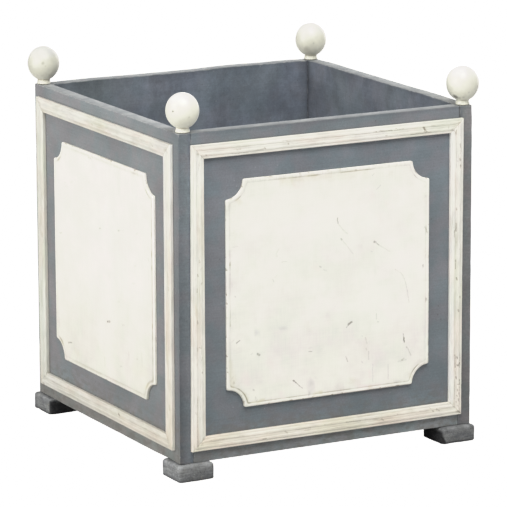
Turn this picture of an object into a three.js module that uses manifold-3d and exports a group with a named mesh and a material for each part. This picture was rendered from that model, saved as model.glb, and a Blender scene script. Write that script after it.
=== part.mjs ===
// Square wooden tub planter: four butt-jointed boards on block feet, with a
// mitred moulding frame and a raised scooped-corner panel on every face, and a
// turned ball finial on every corner. Millimetres, +Z up, origin on the ground
// under the middle of the box. The front face looks towards -Y.
import * as THREE from 'three';
import { mergeVertices } from 'three/addons/utils/BufferGeometryUtils.js';
import Module from 'manifold-3d';

const wasm = await Module();
wasm.setup();

// ---- driving dimensions ---------------------------------------------------
const GAP = 0.3;               // clearance left between pieces that touch

const BODY = 480;              // outside width and depth of the box
const WALL_H = 480;            // height of the wall boards
const BOARD_T = 20;            // board thickness

const FOOT_SIZE = 54;          // square block foot
const FOOT_H = 25;
const FOOT_PROUD = 5;          // the feet stand out beyond the walls
const FOOT_ROUND = 3.5;        // eased vertical edges
const FOOT_EASE = 1.5;         // eased top and bottom edges

const MOULD_INSET = 17.5;      // from the board's edges to the frame's outer edge
const MOULD_W = 20;
// Half of the moulding's section, outer edge to centre: [across, height].
// An edge fillet, then a low rounded bead that falls into a shallow middle flute.
const MOULD_HALF = [
  [0, 0], [0, 4.7], [0.5, 5.2], [2.8, 5.25], [3.6, 5.48], [4.8, 5.82],
  [6.2, 6], [7.4, 5.88], [8, 5.66], [10, 5.68],
];

const PANEL_SIZE = 334;        // raised centre panel, square
const PANEL_SCOOP = 28;        // radius of the concave corners
const PANEL_T = 4.2;
const PANEL_EASE = 1.4;        // eased front edge
const SCOOP_SEGMENTS = 7;

const FINIAL_INSET = 10;       // axis of a finial from both outside faces
const BALL_R = 24.2;           // across
const BALL_HALF_H = 26;        // the ball is turned slightly taller than wide
const BALL_CENTRE = 31;        // above the rim
const NECK_BASE_R = 10.9;
const NECK_TOP_R = 9.3;
const NECK_H = 7;
const SPIGOT_R = 4;
const SPIGOT_L = 28;
const TURNED_SEGMENTS = 24;
const BALL_RINGS = 12;

const BEARER = 24;             // square floor bearer
const BEARER_L = 430;
const BEARER_RAISE = 3;        // above the boards' bottom edge
const SLAT_COUNT = 5;
const SLAT_W = 80;
const SLAT_T = 15;
const FLOOR_SPAN = 434;        // the slatted floor's width and depth

// ---- levels ---------------------------------------------------------------
const Z_WALL = FOOT_H + GAP;
const Z_RIM = Z_WALL + WALL_H;
const HALF = BODY / 2;

// ---- materials ------------------------------------------------------------
const paint = (color, roughness) =>
  new THREE.MeshStandardMaterial({ color, roughness, metalness: 0 });
const greyPaint = () => paint(0x767b82, 0.62);
const creamPaint = () => paint(0xece8dd, 0.5);
const footPaint = () => paint(0x6e7070, 0.75);
const rawWood = () => paint(0x9a7b55, 0.85);

const planter = new THREE.Group();

function add(parent, name, geometry, material, x = 0, y = 0, z = 0) {
  const mesh = new THREE.Mesh(geometry, material);
  mesh.name = name;
  mesh.position.set(x, y, z);
  parent.add(mesh);
  return mesh;
}

// ---- solids ---------------------------------------------------------------
function toSolid(geometry) {
  const g = geometry.clone();
  for (const key of Object.keys(g.attributes)) if (key !== 'position') g.deleteAttribute(key);
  const merged = mergeVertices(g, 1e-4);
  return new wasm.Manifold(new wasm.Mesh({
    numProp: 3,
    vertProperties: new Float32Array(merged.attributes.position.array),
    triVerts: new Uint32Array(merged.index.array),
  }));
}

function toGeometry(solid) {
  const mesh = solid.getMesh();
  const g = new THREE.BufferGeometry();
  const xyz = new Float32Array(mesh.numVert * 3);
  for (let i = 0; i < mesh.numVert; i++) {
    for (let k = 0; k < 3; k++) xyz[i * 3 + k] = mesh.vertProperties[i * mesh.numProp + k];
  }
  g.setAttribute('position', new THREE.BufferAttribute(xyz, 3));
  g.setIndex(Array.from(mesh.triVerts));
  g.computeVertexNormals();
  return g;
}

// A closed skin from a stack of equal-length rings of [x, y, z] points, each
// ring running counter-clockwise seen from +Z and the stack going up.
function stackGeometry(rings) {
  const n = rings[0].length;
  const xyz = [];
  const tri = [];
  for (const ring of rings) for (const p of ring) xyz.push(p[0], p[1], p[2]);
  for (let k = 0; k + 1 < rings.length; k++) {
    for (let i = 0; i < n; i++) {
      const a = k * n + i, b = k * n + (i + 1) % n, c = a + n, d = b + n;
      tri.push(a, b, d, a, d, c);
    }
  }
  const cap = (k, flip) => {
    const flat = rings[k].map((p) => new THREE.Vector2(p[0], p[1]));
    for (const [a, b, c] of THREE.ShapeUtils.triangulateShape(flat, [])) {
      if (flip) tri.push(k * n + a, k * n + c, k * n + b);
      else tri.push(k * n + a, k * n + b, k * n + c);
    }
  };
  cap(0, true);
  cap(rings.length - 1, false);
  const g = new THREE.BufferGeometry();
  g.setAttribute('position', new THREE.Float32BufferAttribute(xyz, 3));
  g.setIndex(tri);
  g.computeVertexNormals();
  return g;
}

// ---- wall boards ----------------------------------------------------------
// The side boards run the full depth; the front and back boards fit between
// them. Each end of a side board's top edge is bored for a finial's spigot.
const acrossLength = BODY - 2 * BOARD_T - 2 * GAP;
for (const [name, y] of [['board_front', -(HALF - BOARD_T / 2)], ['board_back', HALF - BOARD_T / 2]]) {
  add(planter, name, new THREE.BoxGeometry(acrossLength, BOARD_T, WALL_H), greyPaint(),
    0, y, Z_WALL + WALL_H / 2);
}

function sideBoard() {
  const board = toSolid(new THREE.BoxGeometry(BOARD_T, BODY, WALL_H));
  let cut = board;
  for (const s of [-1, 1]) {
    const bore = new THREE.CylinderGeometry(SPIGOT_R + GAP, SPIGOT_R + GAP, SPIGOT_L + 4, 16);
    bore.rotateX(Math.PI / 2);
    bore.translate(0, s * (HALF - FINIAL_INSET), WALL_H / 2 - (SPIGOT_L + 2) + (SPIGOT_L + 4) / 2);
    cut = cut.subtract(toSolid(bore));
  }
  return toGeometry(cut);
}
add(planter, 'board_left', sideBoard(), greyPaint(), -(HALF - BOARD_T / 2), 0, Z_WALL + WALL_H / 2);
add(planter, 'board_right', sideBoard(), greyPaint(), HALF - BOARD_T / 2, 0, Z_WALL + WALL_H / 2);

// ---- applied mouldings ----------------------------------------------------
// Section points run round the whole profile: outer edge at u = 0, inner edge
// at u = MOULD_W, back on the board.
const section = [
  ...MOULD_HALF,
  ...MOULD_HALF.slice(0, -1).reverse().map(([u, h]) => [MOULD_W - u, h]),
];

// One mitred length along local X, centred, outer edge towards +Y and the
// moulded face towards +Z. Its ends are cut at 45 degrees.
function mouldingLength(outer) {
  const ringAt = (end) => section.map(([u, h]) => [
    end * (outer / 2 - u - GAP / 2), -u, h,
  ]);
  const a = ringAt(-1), b = ringAt(1);
  const n = section.length;
  const xyz = [], tri = [];
  for (const p of [...a, ...b]) xyz.push(...p);
  for (let i = 0; i < n; i++) {
    const j = (i + 1) % n;
    tri.push(i, j, i + n, j, j + n, i + n);
  }
  const flat = section.map(([u, h]) => new THREE.Vector2(u, h));
  for (const [p, q, r] of THREE.ShapeUtils.triangulateShape(flat, [])) {
    tri.push(p, q, r);
    tri.push(n + p, n + r, n + q);
  }
  const g = new THREE.BufferGeometry();
  g.setAttribute('position', new THREE.Float32BufferAttribute(xyz, 3));
  g.setIndex(tri);
  g.computeVertexNormals();
  return g;
}

// ---- raised panel ---------------------------------------------------------
// Outline of the square with a concave quarter round at every corner, drawn
// in by `inset` all round.
function scoopedOutline(inset) {
  const h = PANEL_SIZE / 2 - inset;
  const c = PANEL_SIZE / 2;
  const r = PANEL_SCOOP + inset;
  const lead = Math.asin(inset / r);
  const points = [];
  for (let q = 0; q < 4; q++) {
    // corner q, starting at (+c, +c) and going counter-clockwise
    const cx = (q === 0 || q === 3) ? c : -c;
    const cy = q < 2 ? c : -c;
    const from = Math.PI * (1.5 + 0.5 * q) - lead;
    const to = Math.PI * (1 + 0.5 * q) + lead;
    for (let i = 0; i <= SCOOP_SEGMENTS; i++) {
      const a = from + (to - from) * i / SCOOP_SEGMENTS;
      points.push([
        Math.max(-h, Math.min(h, cx + r * Math.cos(a))),
        Math.max(-h, Math.min(h, cy + r * Math.sin(a))),
      ]);
    }
  }
  return points;
}

function panelGeometry() {
  const ring = (inset, z) => scoopedOutline(inset).map(([x, y]) => [x, y, z]);
  return stackGeometry([ring(0, 0), ring(0, PANEL_T - PANEL_EASE), ring(PANEL_EASE, PANEL_T)]);
}

// ---- dress the four faces -------------------------------------------------
// A face group has local X across the face, local Y up it, local Z outwards.
const FACES = [['front', 0], ['right', 90], ['back', 180], ['left', 270]];
for (const [face, degrees] of FACES) {
  const turn = new THREE.Group();
  turn.rotation.z = THREE.MathUtils.degToRad(degrees);
  planter.add(turn);
  const frame = new THREE.Group();
  frame.rotation.x = Math.PI / 2;
  frame.position.set(0, -(HALF + GAP), Z_WALL + WALL_H / 2);
  turn.add(frame);

  const acrossOuter = BODY - 2 * MOULD_INSET;
  const uprightOuter = WALL_H - 2 * MOULD_INSET;
  const sides = [['top', 0, acrossOuter, uprightOuter / 2], ['left', 90, uprightOuter, acrossOuter / 2],
    ['bottom', 180, acrossOuter, uprightOuter / 2], ['right', 270, uprightOuter, acrossOuter / 2]];
  for (const [side, angle, length, reach] of sides) {
    const arm = new THREE.Group();
    arm.rotation.z = THREE.MathUtils.degToRad(angle);
    frame.add(arm);
    add(arm, `moulding_${face}_${side}`, mouldingLength(length), creamPaint(), 0, reach, 0);
  }
  add(frame, `panel_${face}`, panelGeometry(), creamPaint());
}

// ---- finials --------------------------------------------------------------
// Turned in one: spigot, short flared neck, ball. Profile from the spigot's
// end on the axis to the top of the ball on the axis, z = 0 on the rim.
function finialGeometry() {
  const profile = [[0, -SPIGOT_L], [SPIGOT_R - 0.6, -SPIGOT_L], [SPIGOT_R, -SPIGOT_L + 0.8],
    [SPIGOT_R, 0], [NECK_BASE_R - 0.6, 0], [NECK_BASE_R, 0.8], [NECK_BASE_R - 0.5, 2.2],
    [NECK_TOP_R + 0.15, NECK_H * 0.62]];
  const start = Math.asin(NECK_TOP_R / BALL_R) - Math.PI;   // angle where the ball meets the neck
  const first = -Math.PI / 2 + (Math.PI + start);
  for (let i = 0; i <= BALL_RINGS; i++) {
    const a = first + (Math.PI / 2 - first) * i / BALL_RINGS;
    profile.push(i === BALL_RINGS
      ? [0, BALL_CENTRE + BALL_HALF_H]
      : [BALL_R * Math.cos(a), BALL_CENTRE + BALL_HALF_H * Math.sin(a)]);
  }
  const g = new THREE.LatheGeometry(profile.map(([r, z]) => new THREE.Vector2(r, z)), TURNED_SEGMENTS);
  g.rotateX(Math.PI / 2);   // the turning axis becomes +Z
  return g;
}
const corner = HALF - FINIAL_INSET;
for (const [fb, sy] of [['front', -1], ['back', 1]]) {
  for (const [lr, sx] of [['left', -1], ['right', 1]]) {
    add(planter, `finial_${fb}_${lr}`, finialGeometry(), creamPaint(),
      sx * corner, sy * corner, Z_RIM + GAP);
  }
}

// ---- feet -----------------------------------------------------------------
function footGeometry() {
  const outline = (inset) => {
    const h = FOOT_SIZE / 2 - inset, e = FOOT_ROUND, points = [];
    for (const [cx, cy, a0] of [[1, 1, 0], [-1, 1, 90], [-1, -1, 180], [1, -1, 270]]) {
      for (const a of [0, 45, 90]) {
        const t = THREE.MathUtils.degToRad(a0 + a);
        points.push([cx * (h - e) + e * Math.cos(t), cy * (h - e) + e * Math.sin(t)]);
      }
    }
    return points;
  };
  const ring = (inset, z) => outline(inset).map(([x, y]) => [x, y, z]);
  return stackGeometry([ring(FOOT_EASE, 0), ring(0, FOOT_EASE),
    ring(0, FOOT_H - FOOT_EASE), ring(FOOT_EASE, FOOT_H)]);
}
const footAt = HALF + FOOT_PROUD - FOOT_SIZE / 2;
for (const [fb, sy] of [['front', -1], ['back', 1]]) {
  for (const [lr, sx] of [['left', -1], ['right', 1]]) {
    add(planter, `foot_${fb}_${lr}`, footGeometry(), footPaint(), sx * footAt, sy * footAt, 0);
  }
}

// ---- floor ----------------------------------------------------------------
const zBearer = Z_WALL + BEARER_RAISE;
for (const [name, s] of [['floor_bearer_left', -1], ['floor_bearer_right', 1]]) {
  add(planter, name, new THREE.BoxGeometry(BEARER, BEARER_L, BEARER), rawWood(),
    s * (HALF - BOARD_T - GAP - BEARER / 2), 0, zBearer + BEARER / 2);
}
const zSlat = zBearer + BEARER + GAP;
const pitch = (FLOOR_SPAN - SLAT_W) / (SLAT_COUNT - 1);
for (let i = 0; i < SLAT_COUNT; i++) {
  add(planter, `floor_slat_${i + 1}`, new THREE.BoxGeometry(FLOOR_SPAN, SLAT_W, SLAT_T), rawWood(),
    0, -FLOOR_SPAN / 2 + SLAT_W / 2 + i * pitch, zSlat + SLAT_T / 2);
}

export default planter;
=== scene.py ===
"""Square painted wooden tub planter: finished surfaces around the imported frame.

Metres, +Z up, origin on the ground under the middle of the box, front face
looking along -Y. Every piece is made here from points, in the frame's places.
"""

import math

import bpy
import numpy as np
from mathutils import Matrix, Vector
from mathutils.geometry import delaunay_2d_cdt


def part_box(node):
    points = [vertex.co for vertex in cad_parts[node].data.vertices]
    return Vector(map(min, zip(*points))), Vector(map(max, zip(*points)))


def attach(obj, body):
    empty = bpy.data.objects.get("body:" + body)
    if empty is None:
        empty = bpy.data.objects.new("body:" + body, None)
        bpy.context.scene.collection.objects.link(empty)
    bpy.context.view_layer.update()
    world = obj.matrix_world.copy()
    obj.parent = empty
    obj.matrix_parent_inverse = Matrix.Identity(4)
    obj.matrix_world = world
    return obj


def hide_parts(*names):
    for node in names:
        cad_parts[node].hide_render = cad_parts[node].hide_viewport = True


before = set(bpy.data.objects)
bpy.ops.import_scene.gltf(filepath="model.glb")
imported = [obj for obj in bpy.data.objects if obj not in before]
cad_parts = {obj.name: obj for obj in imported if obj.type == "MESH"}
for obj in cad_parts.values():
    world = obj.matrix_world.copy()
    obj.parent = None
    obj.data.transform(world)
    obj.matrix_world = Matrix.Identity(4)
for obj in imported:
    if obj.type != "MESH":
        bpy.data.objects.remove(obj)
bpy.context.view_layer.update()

MM = 0.001

# ---- sizes, in millimetres, as in the frame ---------------------------------
BODY = 480.0
HALF = BODY / 2
WALL_H = 480.0
BOARD_T = 20.0
GAP = 0.3
Z_WALL = 25.3
Z_RIM = Z_WALL + WALL_H
Z_MID = Z_WALL + WALL_H / 2
MOULD_INSET = 17.5
MOULD_W = 20.0
PANEL = 334.0
SCOOP = 28.0
PANEL_T = 4.2
FINIAL_AT = 230.0
FOOT = 54.0
FOOT_H = 25.0
FOOT_AT = HALF + 5.0 - FOOT / 2
FACES = (("front", 0), ("right", 90), ("back", 180), ("left", 270))


# ---- camera ------------------------------------------------------------------
def make_camera():
    az, el, roll = map(math.radians, (-27.870, 12.396, -0.256))
    back = Vector((math.sin(az) * math.cos(el), -math.cos(az) * math.cos(el), math.sin(el)))
    right = Vector((math.cos(az), math.sin(az), 0.0))
    up = back.cross(right)
    r2 = right * math.cos(roll) + up * math.sin(roll)
    u2 = -right * math.sin(roll) + up * math.cos(roll)
    data = bpy.data.cameras.new("camera")
    data.sensor_width = 36.0
    data.lens = 270.02
    data.clip_start = 0.1
    data.clip_end = 100.0
    cam = bpy.data.objects.new("camera", data)
    m = Matrix.Identity(4)
    for i in range(3):
        m[i][0], m[i][1], m[i][2] = r2[i], u2[i], back[i]
    m[0][3], m[1][3], m[2][3] = -2.596493, -4.920750, 1.485538
    cam.matrix_world = m
    bpy.context.scene.collection.objects.link(cam)
    bpy.context.scene.camera = cam


make_camera()


# ---- repeatable noise on arrays of points -----------------------------------
def _hash(ix, iy, iz, seed):
    h = (ix * 374761393 + iy * 668265263 + iz * 2147483647 + seed * 974634777) & 0xFFFFFFFF
    h = ((h ^ (h >> 13)) * 1274126177) & 0xFFFFFFFF
    h = h ^ (h >> 16)
    return (h & 0xFFFF) / 32767.5 - 1.0


def noise(p, size, seed):
    """Smooth noise from -1 to 1 at points p, with features of that size."""
    q = np.asarray(p, float) / size + 517.0
    i = np.floor(q).astype(np.int64)
    f = q - i
    f = f * f * (3 - 2 * f)
    total = np.zeros(len(q))
    for dx in (0, 1):
        for dy in (0, 1):
            for dz in (0, 1):
                w = (
                    (f[:, 0] if dx else 1 - f[:, 0])
                    * (f[:, 1] if dy else 1 - f[:, 1])
                    * (f[:, 2] if dz else 1 - f[:, 2])
                )
                total += w * _hash(i[:, 0] + dx, i[:, 1] + dy, i[:, 2] + dz, seed)
    return total


def mark_cover(p, items, ragged, grain, seed):
    """How strongly marks cover points on a face, both in millimetres. A mark is
    (from, to, half width, strength); ragged is how far its edge wanders."""
    flat = np.stack([p[:, 0], p[:, 1], np.zeros(len(p))], 1)
    q = p[:, :2] + ragged * np.stack([noise(flat, grain, seed), noise(flat + 77.0, grain, seed + 1)], 1)
    total = np.zeros(len(p))
    for a, b, width, strength in items:
        a, d = np.array(a, float), np.array(b, float) - np.array(a, float)
        near = np.flatnonzero(np.all(np.abs(q - a - d / 2) < np.abs(d) / 2 + width, axis=1))
        rel = q[near] - a
        t = np.clip(rel @ d / max(d @ d, 1e-9), 0, 1)
        f = np.clip((width - np.linalg.norm(rel - t[:, None] * d, axis=1)) / (0.75 * width), 0, 1)
        total[near] = np.maximum(total[near], strength * f * f * (3 - 2 * f))
    return total


def mark_points(items, step=0.6):
    """Extra mesh points along marks, so that the mesh can carry them."""
    out = []
    for a, b, width, _ in items:
        a, d = np.array(a, float), np.array(b, float) - np.array(a, float)
        length = max(np.linalg.norm(d), 0.1)
        d = d / length if length > 0.1 else np.array([1.0, 0.0])
        side = np.array([-d[1], d[0]])
        count = max(2, int(round((length + 2 * width) / (step if length < 14 else 1.2 * step))))
        for i in range(count + 1):
            along = -width + (length + 2 * width) * i / count
            for k, across in enumerate((-1.2, -0.8, -0.4, 0.0, 0.4, 0.8, 1.2)):
                out.append(a + d * (along + 0.11 * ((i * 7 + k * 5) % 3 - 1)) + side * across * width)
    if not out:
        return np.zeros((0, 2))
    out = np.array(out)
    _, first = np.unique(np.round(out / 0.42).astype(int), axis=0, return_index=True)
    return out[np.sort(first)]


# ---- meshes ------------------------------------------------------------------
def make_piece(name, node, verts_mm, faces, attrs, material, sharp=38.0):
    """A piece from points in millimetres, standing for a node of the frame."""
    me = bpy.data.meshes.new(name)
    me.from_pydata((np.asarray(verts_mm) * MM).tolist(), [], faces)
    me.update()
    me.polygons.foreach_set("use_smooth", [True] * len(me.polygons))
    for key, values in attrs.items():
        values = np.asarray(values, np.float32)
        if values.ndim == 2:
            a = me.attributes.new(key, "FLOAT_VECTOR", "POINT")
            a.data.foreach_set("vector", values.ravel())
        else:
            a = me.attributes.new(key, "FLOAT", "POINT")
            a.data.foreach_set("value", values)
    me.set_sharp_from_angle(angle=math.radians(sharp))
    me.materials.append(material)
    ob = bpy.data.objects.new(name, me)
    bpy.context.scene.collection.objects.link(ob)
    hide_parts(node)
    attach(ob, "root")
    return ob


def axis_samples(lo, hi, r, step, extra, seg):
    near = [r * (1 - math.tan(math.radians(45 * (1 - k / seg)))) for k in range(seg + 1)]
    near += [r + e for e in extra]
    a = [lo + n for n in near]
    b = [hi - n for n in reversed(near)]
    count = max(1, round((b[0] - a[-1]) / step))
    mid = [a[-1] + (b[0] - a[-1]) * i / count for i in range(1, count)]
    return a + mid + b


def rounded_box(lo, hi, r, steps, extra=(2.5, 5.5), seg=3, holes=()):
    """A box with rounded edges on a regular grid. Returns its points, its faces
    and the outward direction at each point. holes are blind bores from the top:
    (x, y, half side of the cell they sit in, radius, depth)."""
    axes = [axis_samples(lo[k], hi[k], r, steps[k], extra, seg) for k in range(3)]
    for x, y, half, _, _ in holes:
        for k, c in ((0, x), (1, y)):
            kept = [v for v in axes[k] if not (c - half - 0.6 < v < c + half + 0.6)]
            axes[k] = sorted(kept + [c - half, c + half])
    X, Y, Z = (np.array(a) for a in axes)
    nx, ny, nz = len(X), len(Y), len(Z)
    I, J, K = np.meshgrid(range(nx), range(ny), range(nz), indexing="ij")
    skin = (I == 0) | (I == nx - 1) | (J == 0) | (J == ny - 1) | (K == 0) | (K == nz - 1)
    index = -np.ones((nx, ny, nz), int)
    index[skin] = np.arange(skin.sum())
    P = np.stack([X[I[skin]], Y[J[skin]], Z[K[skin]]], 1)
    faces = []

    def side(get, na, nb, flip):
        for a in range(na - 1):
            for b in range(nb - 1):
                q = [get(a, b), get(a + 1, b), get(a + 1, b + 1), get(a, b + 1)]
                faces.append([int(v) for v in (reversed(q) if flip else q)])

    side(lambda a, b: index[a, b, nz - 1], nx, ny, False)
    side(lambda a, b: index[a, b, 0], nx, ny, True)
    side(lambda a, b: index[a, 0, b], nx, nz, False)
    side(lambda a, b: index[a, ny - 1, b], nx, nz, True)
    side(lambda a, b: index[0, a, b], ny, nz, True)
    side(lambda a, b: index[nx - 1, a, b], ny, nz, False)

    inner_lo = np.array(lo) + r
    inner_hi = np.array(hi) - r
    q = np.clip(P, inner_lo, inner_hi)
    d = P - q
    n = d / np.linalg.norm(d, axis=1)[:, None]
    verts = q + n * r
    verts, normals = verts.tolist(), n.tolist()
    for x, y, half, radius, depth in holes:
        i0 = int(np.argmin(abs(X - (x - half))))
        j0 = int(np.argmin(abs(Y - (y - half))))
        c = [int(index[i, j, nz - 1]) for i, j in ((i0, j0), (i0 + 1, j0), (i0 + 1, j0 + 1), (i0, j0 + 1))]
        faces[:] = [f for f in faces if set(f) != set(c)]
        m = 24
        rings = []
        for z in (hi[2], hi[2] - depth):
            ring = []
            for s in range(m):
                a = 2 * math.pi * s / m - 3 * math.pi / 4
                ring.append(len(verts))
                verts.append([x + radius * math.cos(a), y + radius * math.sin(a), z])
                normals.append([0.0, 0.0, 0.0])
            rings.append(ring)
        top, low = rings
        quarter = m // 4
        for s in range(4):
            arc = [top[(s * quarter + t) % m] for t in range(quarter + 1)]
            a, b = c[s], c[(s + 1) % 4]
            mid = quarter // 2
            for t in range(quarter):
                faces.append([a if t < mid else b, arc[t + 1], arc[t]])
            faces.append([a, b, arc[mid]])
        for s in range(m):
            t = (s + 1) % m
            faces.append([top[s], top[t], low[t], low[s]])
        faces.append(list(low))
    return np.array(verts), faces, np.array(normals)


def turn_z(p, degrees):
    c, s = round(math.cos(math.radians(degrees)), 9), round(math.sin(math.radians(degrees)), 9)
    p = np.asarray(p, float)
    return np.stack([p[:, 0] * c - p[:, 1] * s, p[:, 0] * s + p[:, 1] * c, p[:, 2]], 1)


def face_to_frame(p, degrees):
    """From a face's own axes (across, up, outwards) to the frame."""
    p = np.asarray(p, float)
    q = np.stack([p[:, 0], -(HALF + GAP) - p[:, 2], p[:, 1] + Z_MID], 1)
    return turn_z(q, degrees)


# ---- node trees ----------------------------------------------------------------
class Tree:
    """Short names for the shader nodes used below."""

    def __init__(self, name):
        self.material = bpy.data.materials.new(name)
        self.material.use_nodes = True
        self.nt = self.material.node_tree
        self.nt.nodes.clear()

    def node(self, kind, **props):
        n = self.nt.nodes.new("ShaderNode" + kind)
        for k, v in props.items():
            setattr(n, k, v)
        return n

    def put(self, socket, value):
        if isinstance(value, bpy.types.NodeSocket):
            self.nt.links.new(value, socket)
        elif value is not None:
            socket.default_value = value

    def attr(self, name, out="Vector"):
        n = self.node("Attribute", attribute_type="GEOMETRY", attribute_name=name)
        return n.outputs[out]

    def val(self, name):
        return self.attr(name, "Fac")

    def math(self, op, a, b=None, c=None, clamp=False):
        n = self.node("Math", operation=op, use_clamp=clamp)
        self.put(n.inputs[0], a)
        self.put(n.inputs[1], b)
        if c is not None:
            self.put(n.inputs[2], c)
        return n.outputs[0]

    def vec(self, op, a, b=None, out=0):
        n = self.node("VectorMath", operation=op)
        self.put(n.inputs[0], a)
        if b is not None:
            self.put(n.inputs[1], b)
        return n.outputs[out]

    def scaled(self, v, x, y, z, shift=(0, 0, 0)):
        n = self.node("VectorMath", operation="MULTIPLY_ADD")
        self.put(n.inputs[0], v)
        n.inputs[1].default_value = (x, y, z)
        n.inputs[2].default_value = shift
        return n.outputs[0]

    def split(self, v):
        n = self.node("SeparateXYZ")
        self.put(n.inputs[0], v)
        return n.outputs

    def noise(self, v, scale, detail=2.0, rough=0.5, bend=0.0):
        n = self.node("TexNoise", noise_dimensions="3D")
        self.put(n.inputs["Vector"], v)
        n.inputs["Scale"].default_value = scale
        n.inputs["Detail"].default_value = detail
        n.inputs["Roughness"].default_value = rough
        n.inputs["Distortion"].default_value = bend
        return n.outputs["Fac"]

    def cells(self, v, scale, feature="F1", random=1.0):
        n = self.node("TexVoronoi", feature=feature)
        self.put(n.inputs["Vector"], v)
        n.inputs["Scale"].default_value = scale
        n.inputs["Randomness"].default_value = random
        return n.outputs["Distance"]

    def span(self, v, a, b, c=0.0, d=1.0, smooth=True):
        n = self.node("MapRange", interpolation_type="SMOOTHSTEP" if smooth else "LINEAR")
        n.clamp = True
        self.put(n.inputs[0], v)
        for i, x in enumerate((a, b, c, d)):
            n.inputs[i + 1].default_value = x
        return n.outputs[0]

    def ramp(self, v, stops, interp="LINEAR"):
        n = self.node("ValToRGB")
        cr = n.color_ramp
        cr.interpolation = interp
        while len(cr.elements) < len(stops):
            cr.elements.new(0.5)
        for e, (pos, value) in zip(cr.elements, stops):
            e.position = pos
            e.color = (*value, 1.0) if isinstance(value, tuple) else (value, value, value, 1.0)
        self.put(n.inputs[0], v)
        return n.outputs[0]

    def mix(self, fac, a, b, blend="MIX"):
        n = self.node("Mix", data_type="RGBA", blend_type=blend)
        n.clamp_factor = True
        self.put(n.inputs[0], fac)
        for s, v in ((n.inputs[6], a), (n.inputs[7], b)):
            if isinstance(v, tuple):
                v = (*v, 1.0)
            self.put(s, v)
        return n.outputs[2]

    def times(self, colour, value):
        """A colour multiplied by a number or a grey."""
        n = self.node("VectorMath", operation="SCALE")
        self.put(n.inputs[0], colour)
        self.put(n.inputs[3], value)
        return n.outputs[0]

    def add(self, *values):
        total = values[0]
        for v in values[1:]:
            total = self.math("ADD", total, v)
        return total

    def most(self, *values):
        total = values[0]
        for v in values[1:]:
            total = self.math("MAXIMUM", total, v)
        return total

    def finish(self, colour, roughness, height, distance, specular=0.5, strength=1.0, dust=0.0):
        bsdf = self.node("BsdfPrincipled")
        out = self.node("OutputMaterial")
        self.put(bsdf.inputs["Base Color"], colour)
        self.put(bsdf.inputs["Roughness"], roughness)
        bsdf.inputs["Specular IOR Level"].default_value = specular
        if dust:
            bsdf.inputs["Sheen Weight"].default_value = dust
            bsdf.inputs["Sheen Roughness"].default_value = 0.35
        if height is not None:
            bump = self.node("Bump")
            bump.inputs["Strength"].default_value = strength
            bump.inputs["Distance"].default_value = distance
            self.put(bump.inputs["Height"], height)
            self.nt.links.new(bump.outputs[0], bsdf.inputs["Normal"])
        self.nt.links.new(bsdf.outputs[0], out.inputs["Surface"])
        return self.material


def cream_surface(t, pc, uneven=1.0):
    """Brushed cream-white paint: (colour, brush height)."""
    blot = t.noise(pc, 17.0, 4.0, 0.60)
    hue = t.noise(t.scaled(pc, 1, 1, 1, (3.1, 1.7, 0.4)), 24.0, 2.0, 0.5)
    colour = t.mix(t.span(hue, 0.36, 0.64), (0.852, 0.849, 0.768), (0.890, 0.837, 0.798))
    slow = t.noise(t.scaled(pc, 1, 1, 1, (8.3, 2.2, 1.1)), 9.0, 2.0, 0.5)
    colour = t.mix(t.span(slow, 0.34, 0.66, 0.0, 0.55 * uneven), colour, (0.868, 0.852, 0.762))
    colour = t.times(colour, t.span(blot, 0.3, 0.7, 1.0 - 0.08 * uneven, 1.0 + 0.05 * uneven))
    along = t.noise(t.scaled(pc, 620, 26, 620), 1.0, 3.0, 0.55)
    across = t.noise(t.scaled(pc, 24, 520, 24, (7.0, 2.0, 5.0)), 1.0, 2.0, 0.5)
    weave = t.math("ADD", t.math("MULTIPLY", along, 0.62), t.math("MULTIPLY", across, 0.38))
    colour = t.times(colour, t.span(weave, 0.3, 0.7, 0.955, 1.035, smooth=False))
    return colour, weave, blot


SMUDGE_TONES = ((0.50, 0.475, 0.455), (0.66, 0.62, 0.47), (0.87, 0.735, 0.705))


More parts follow.
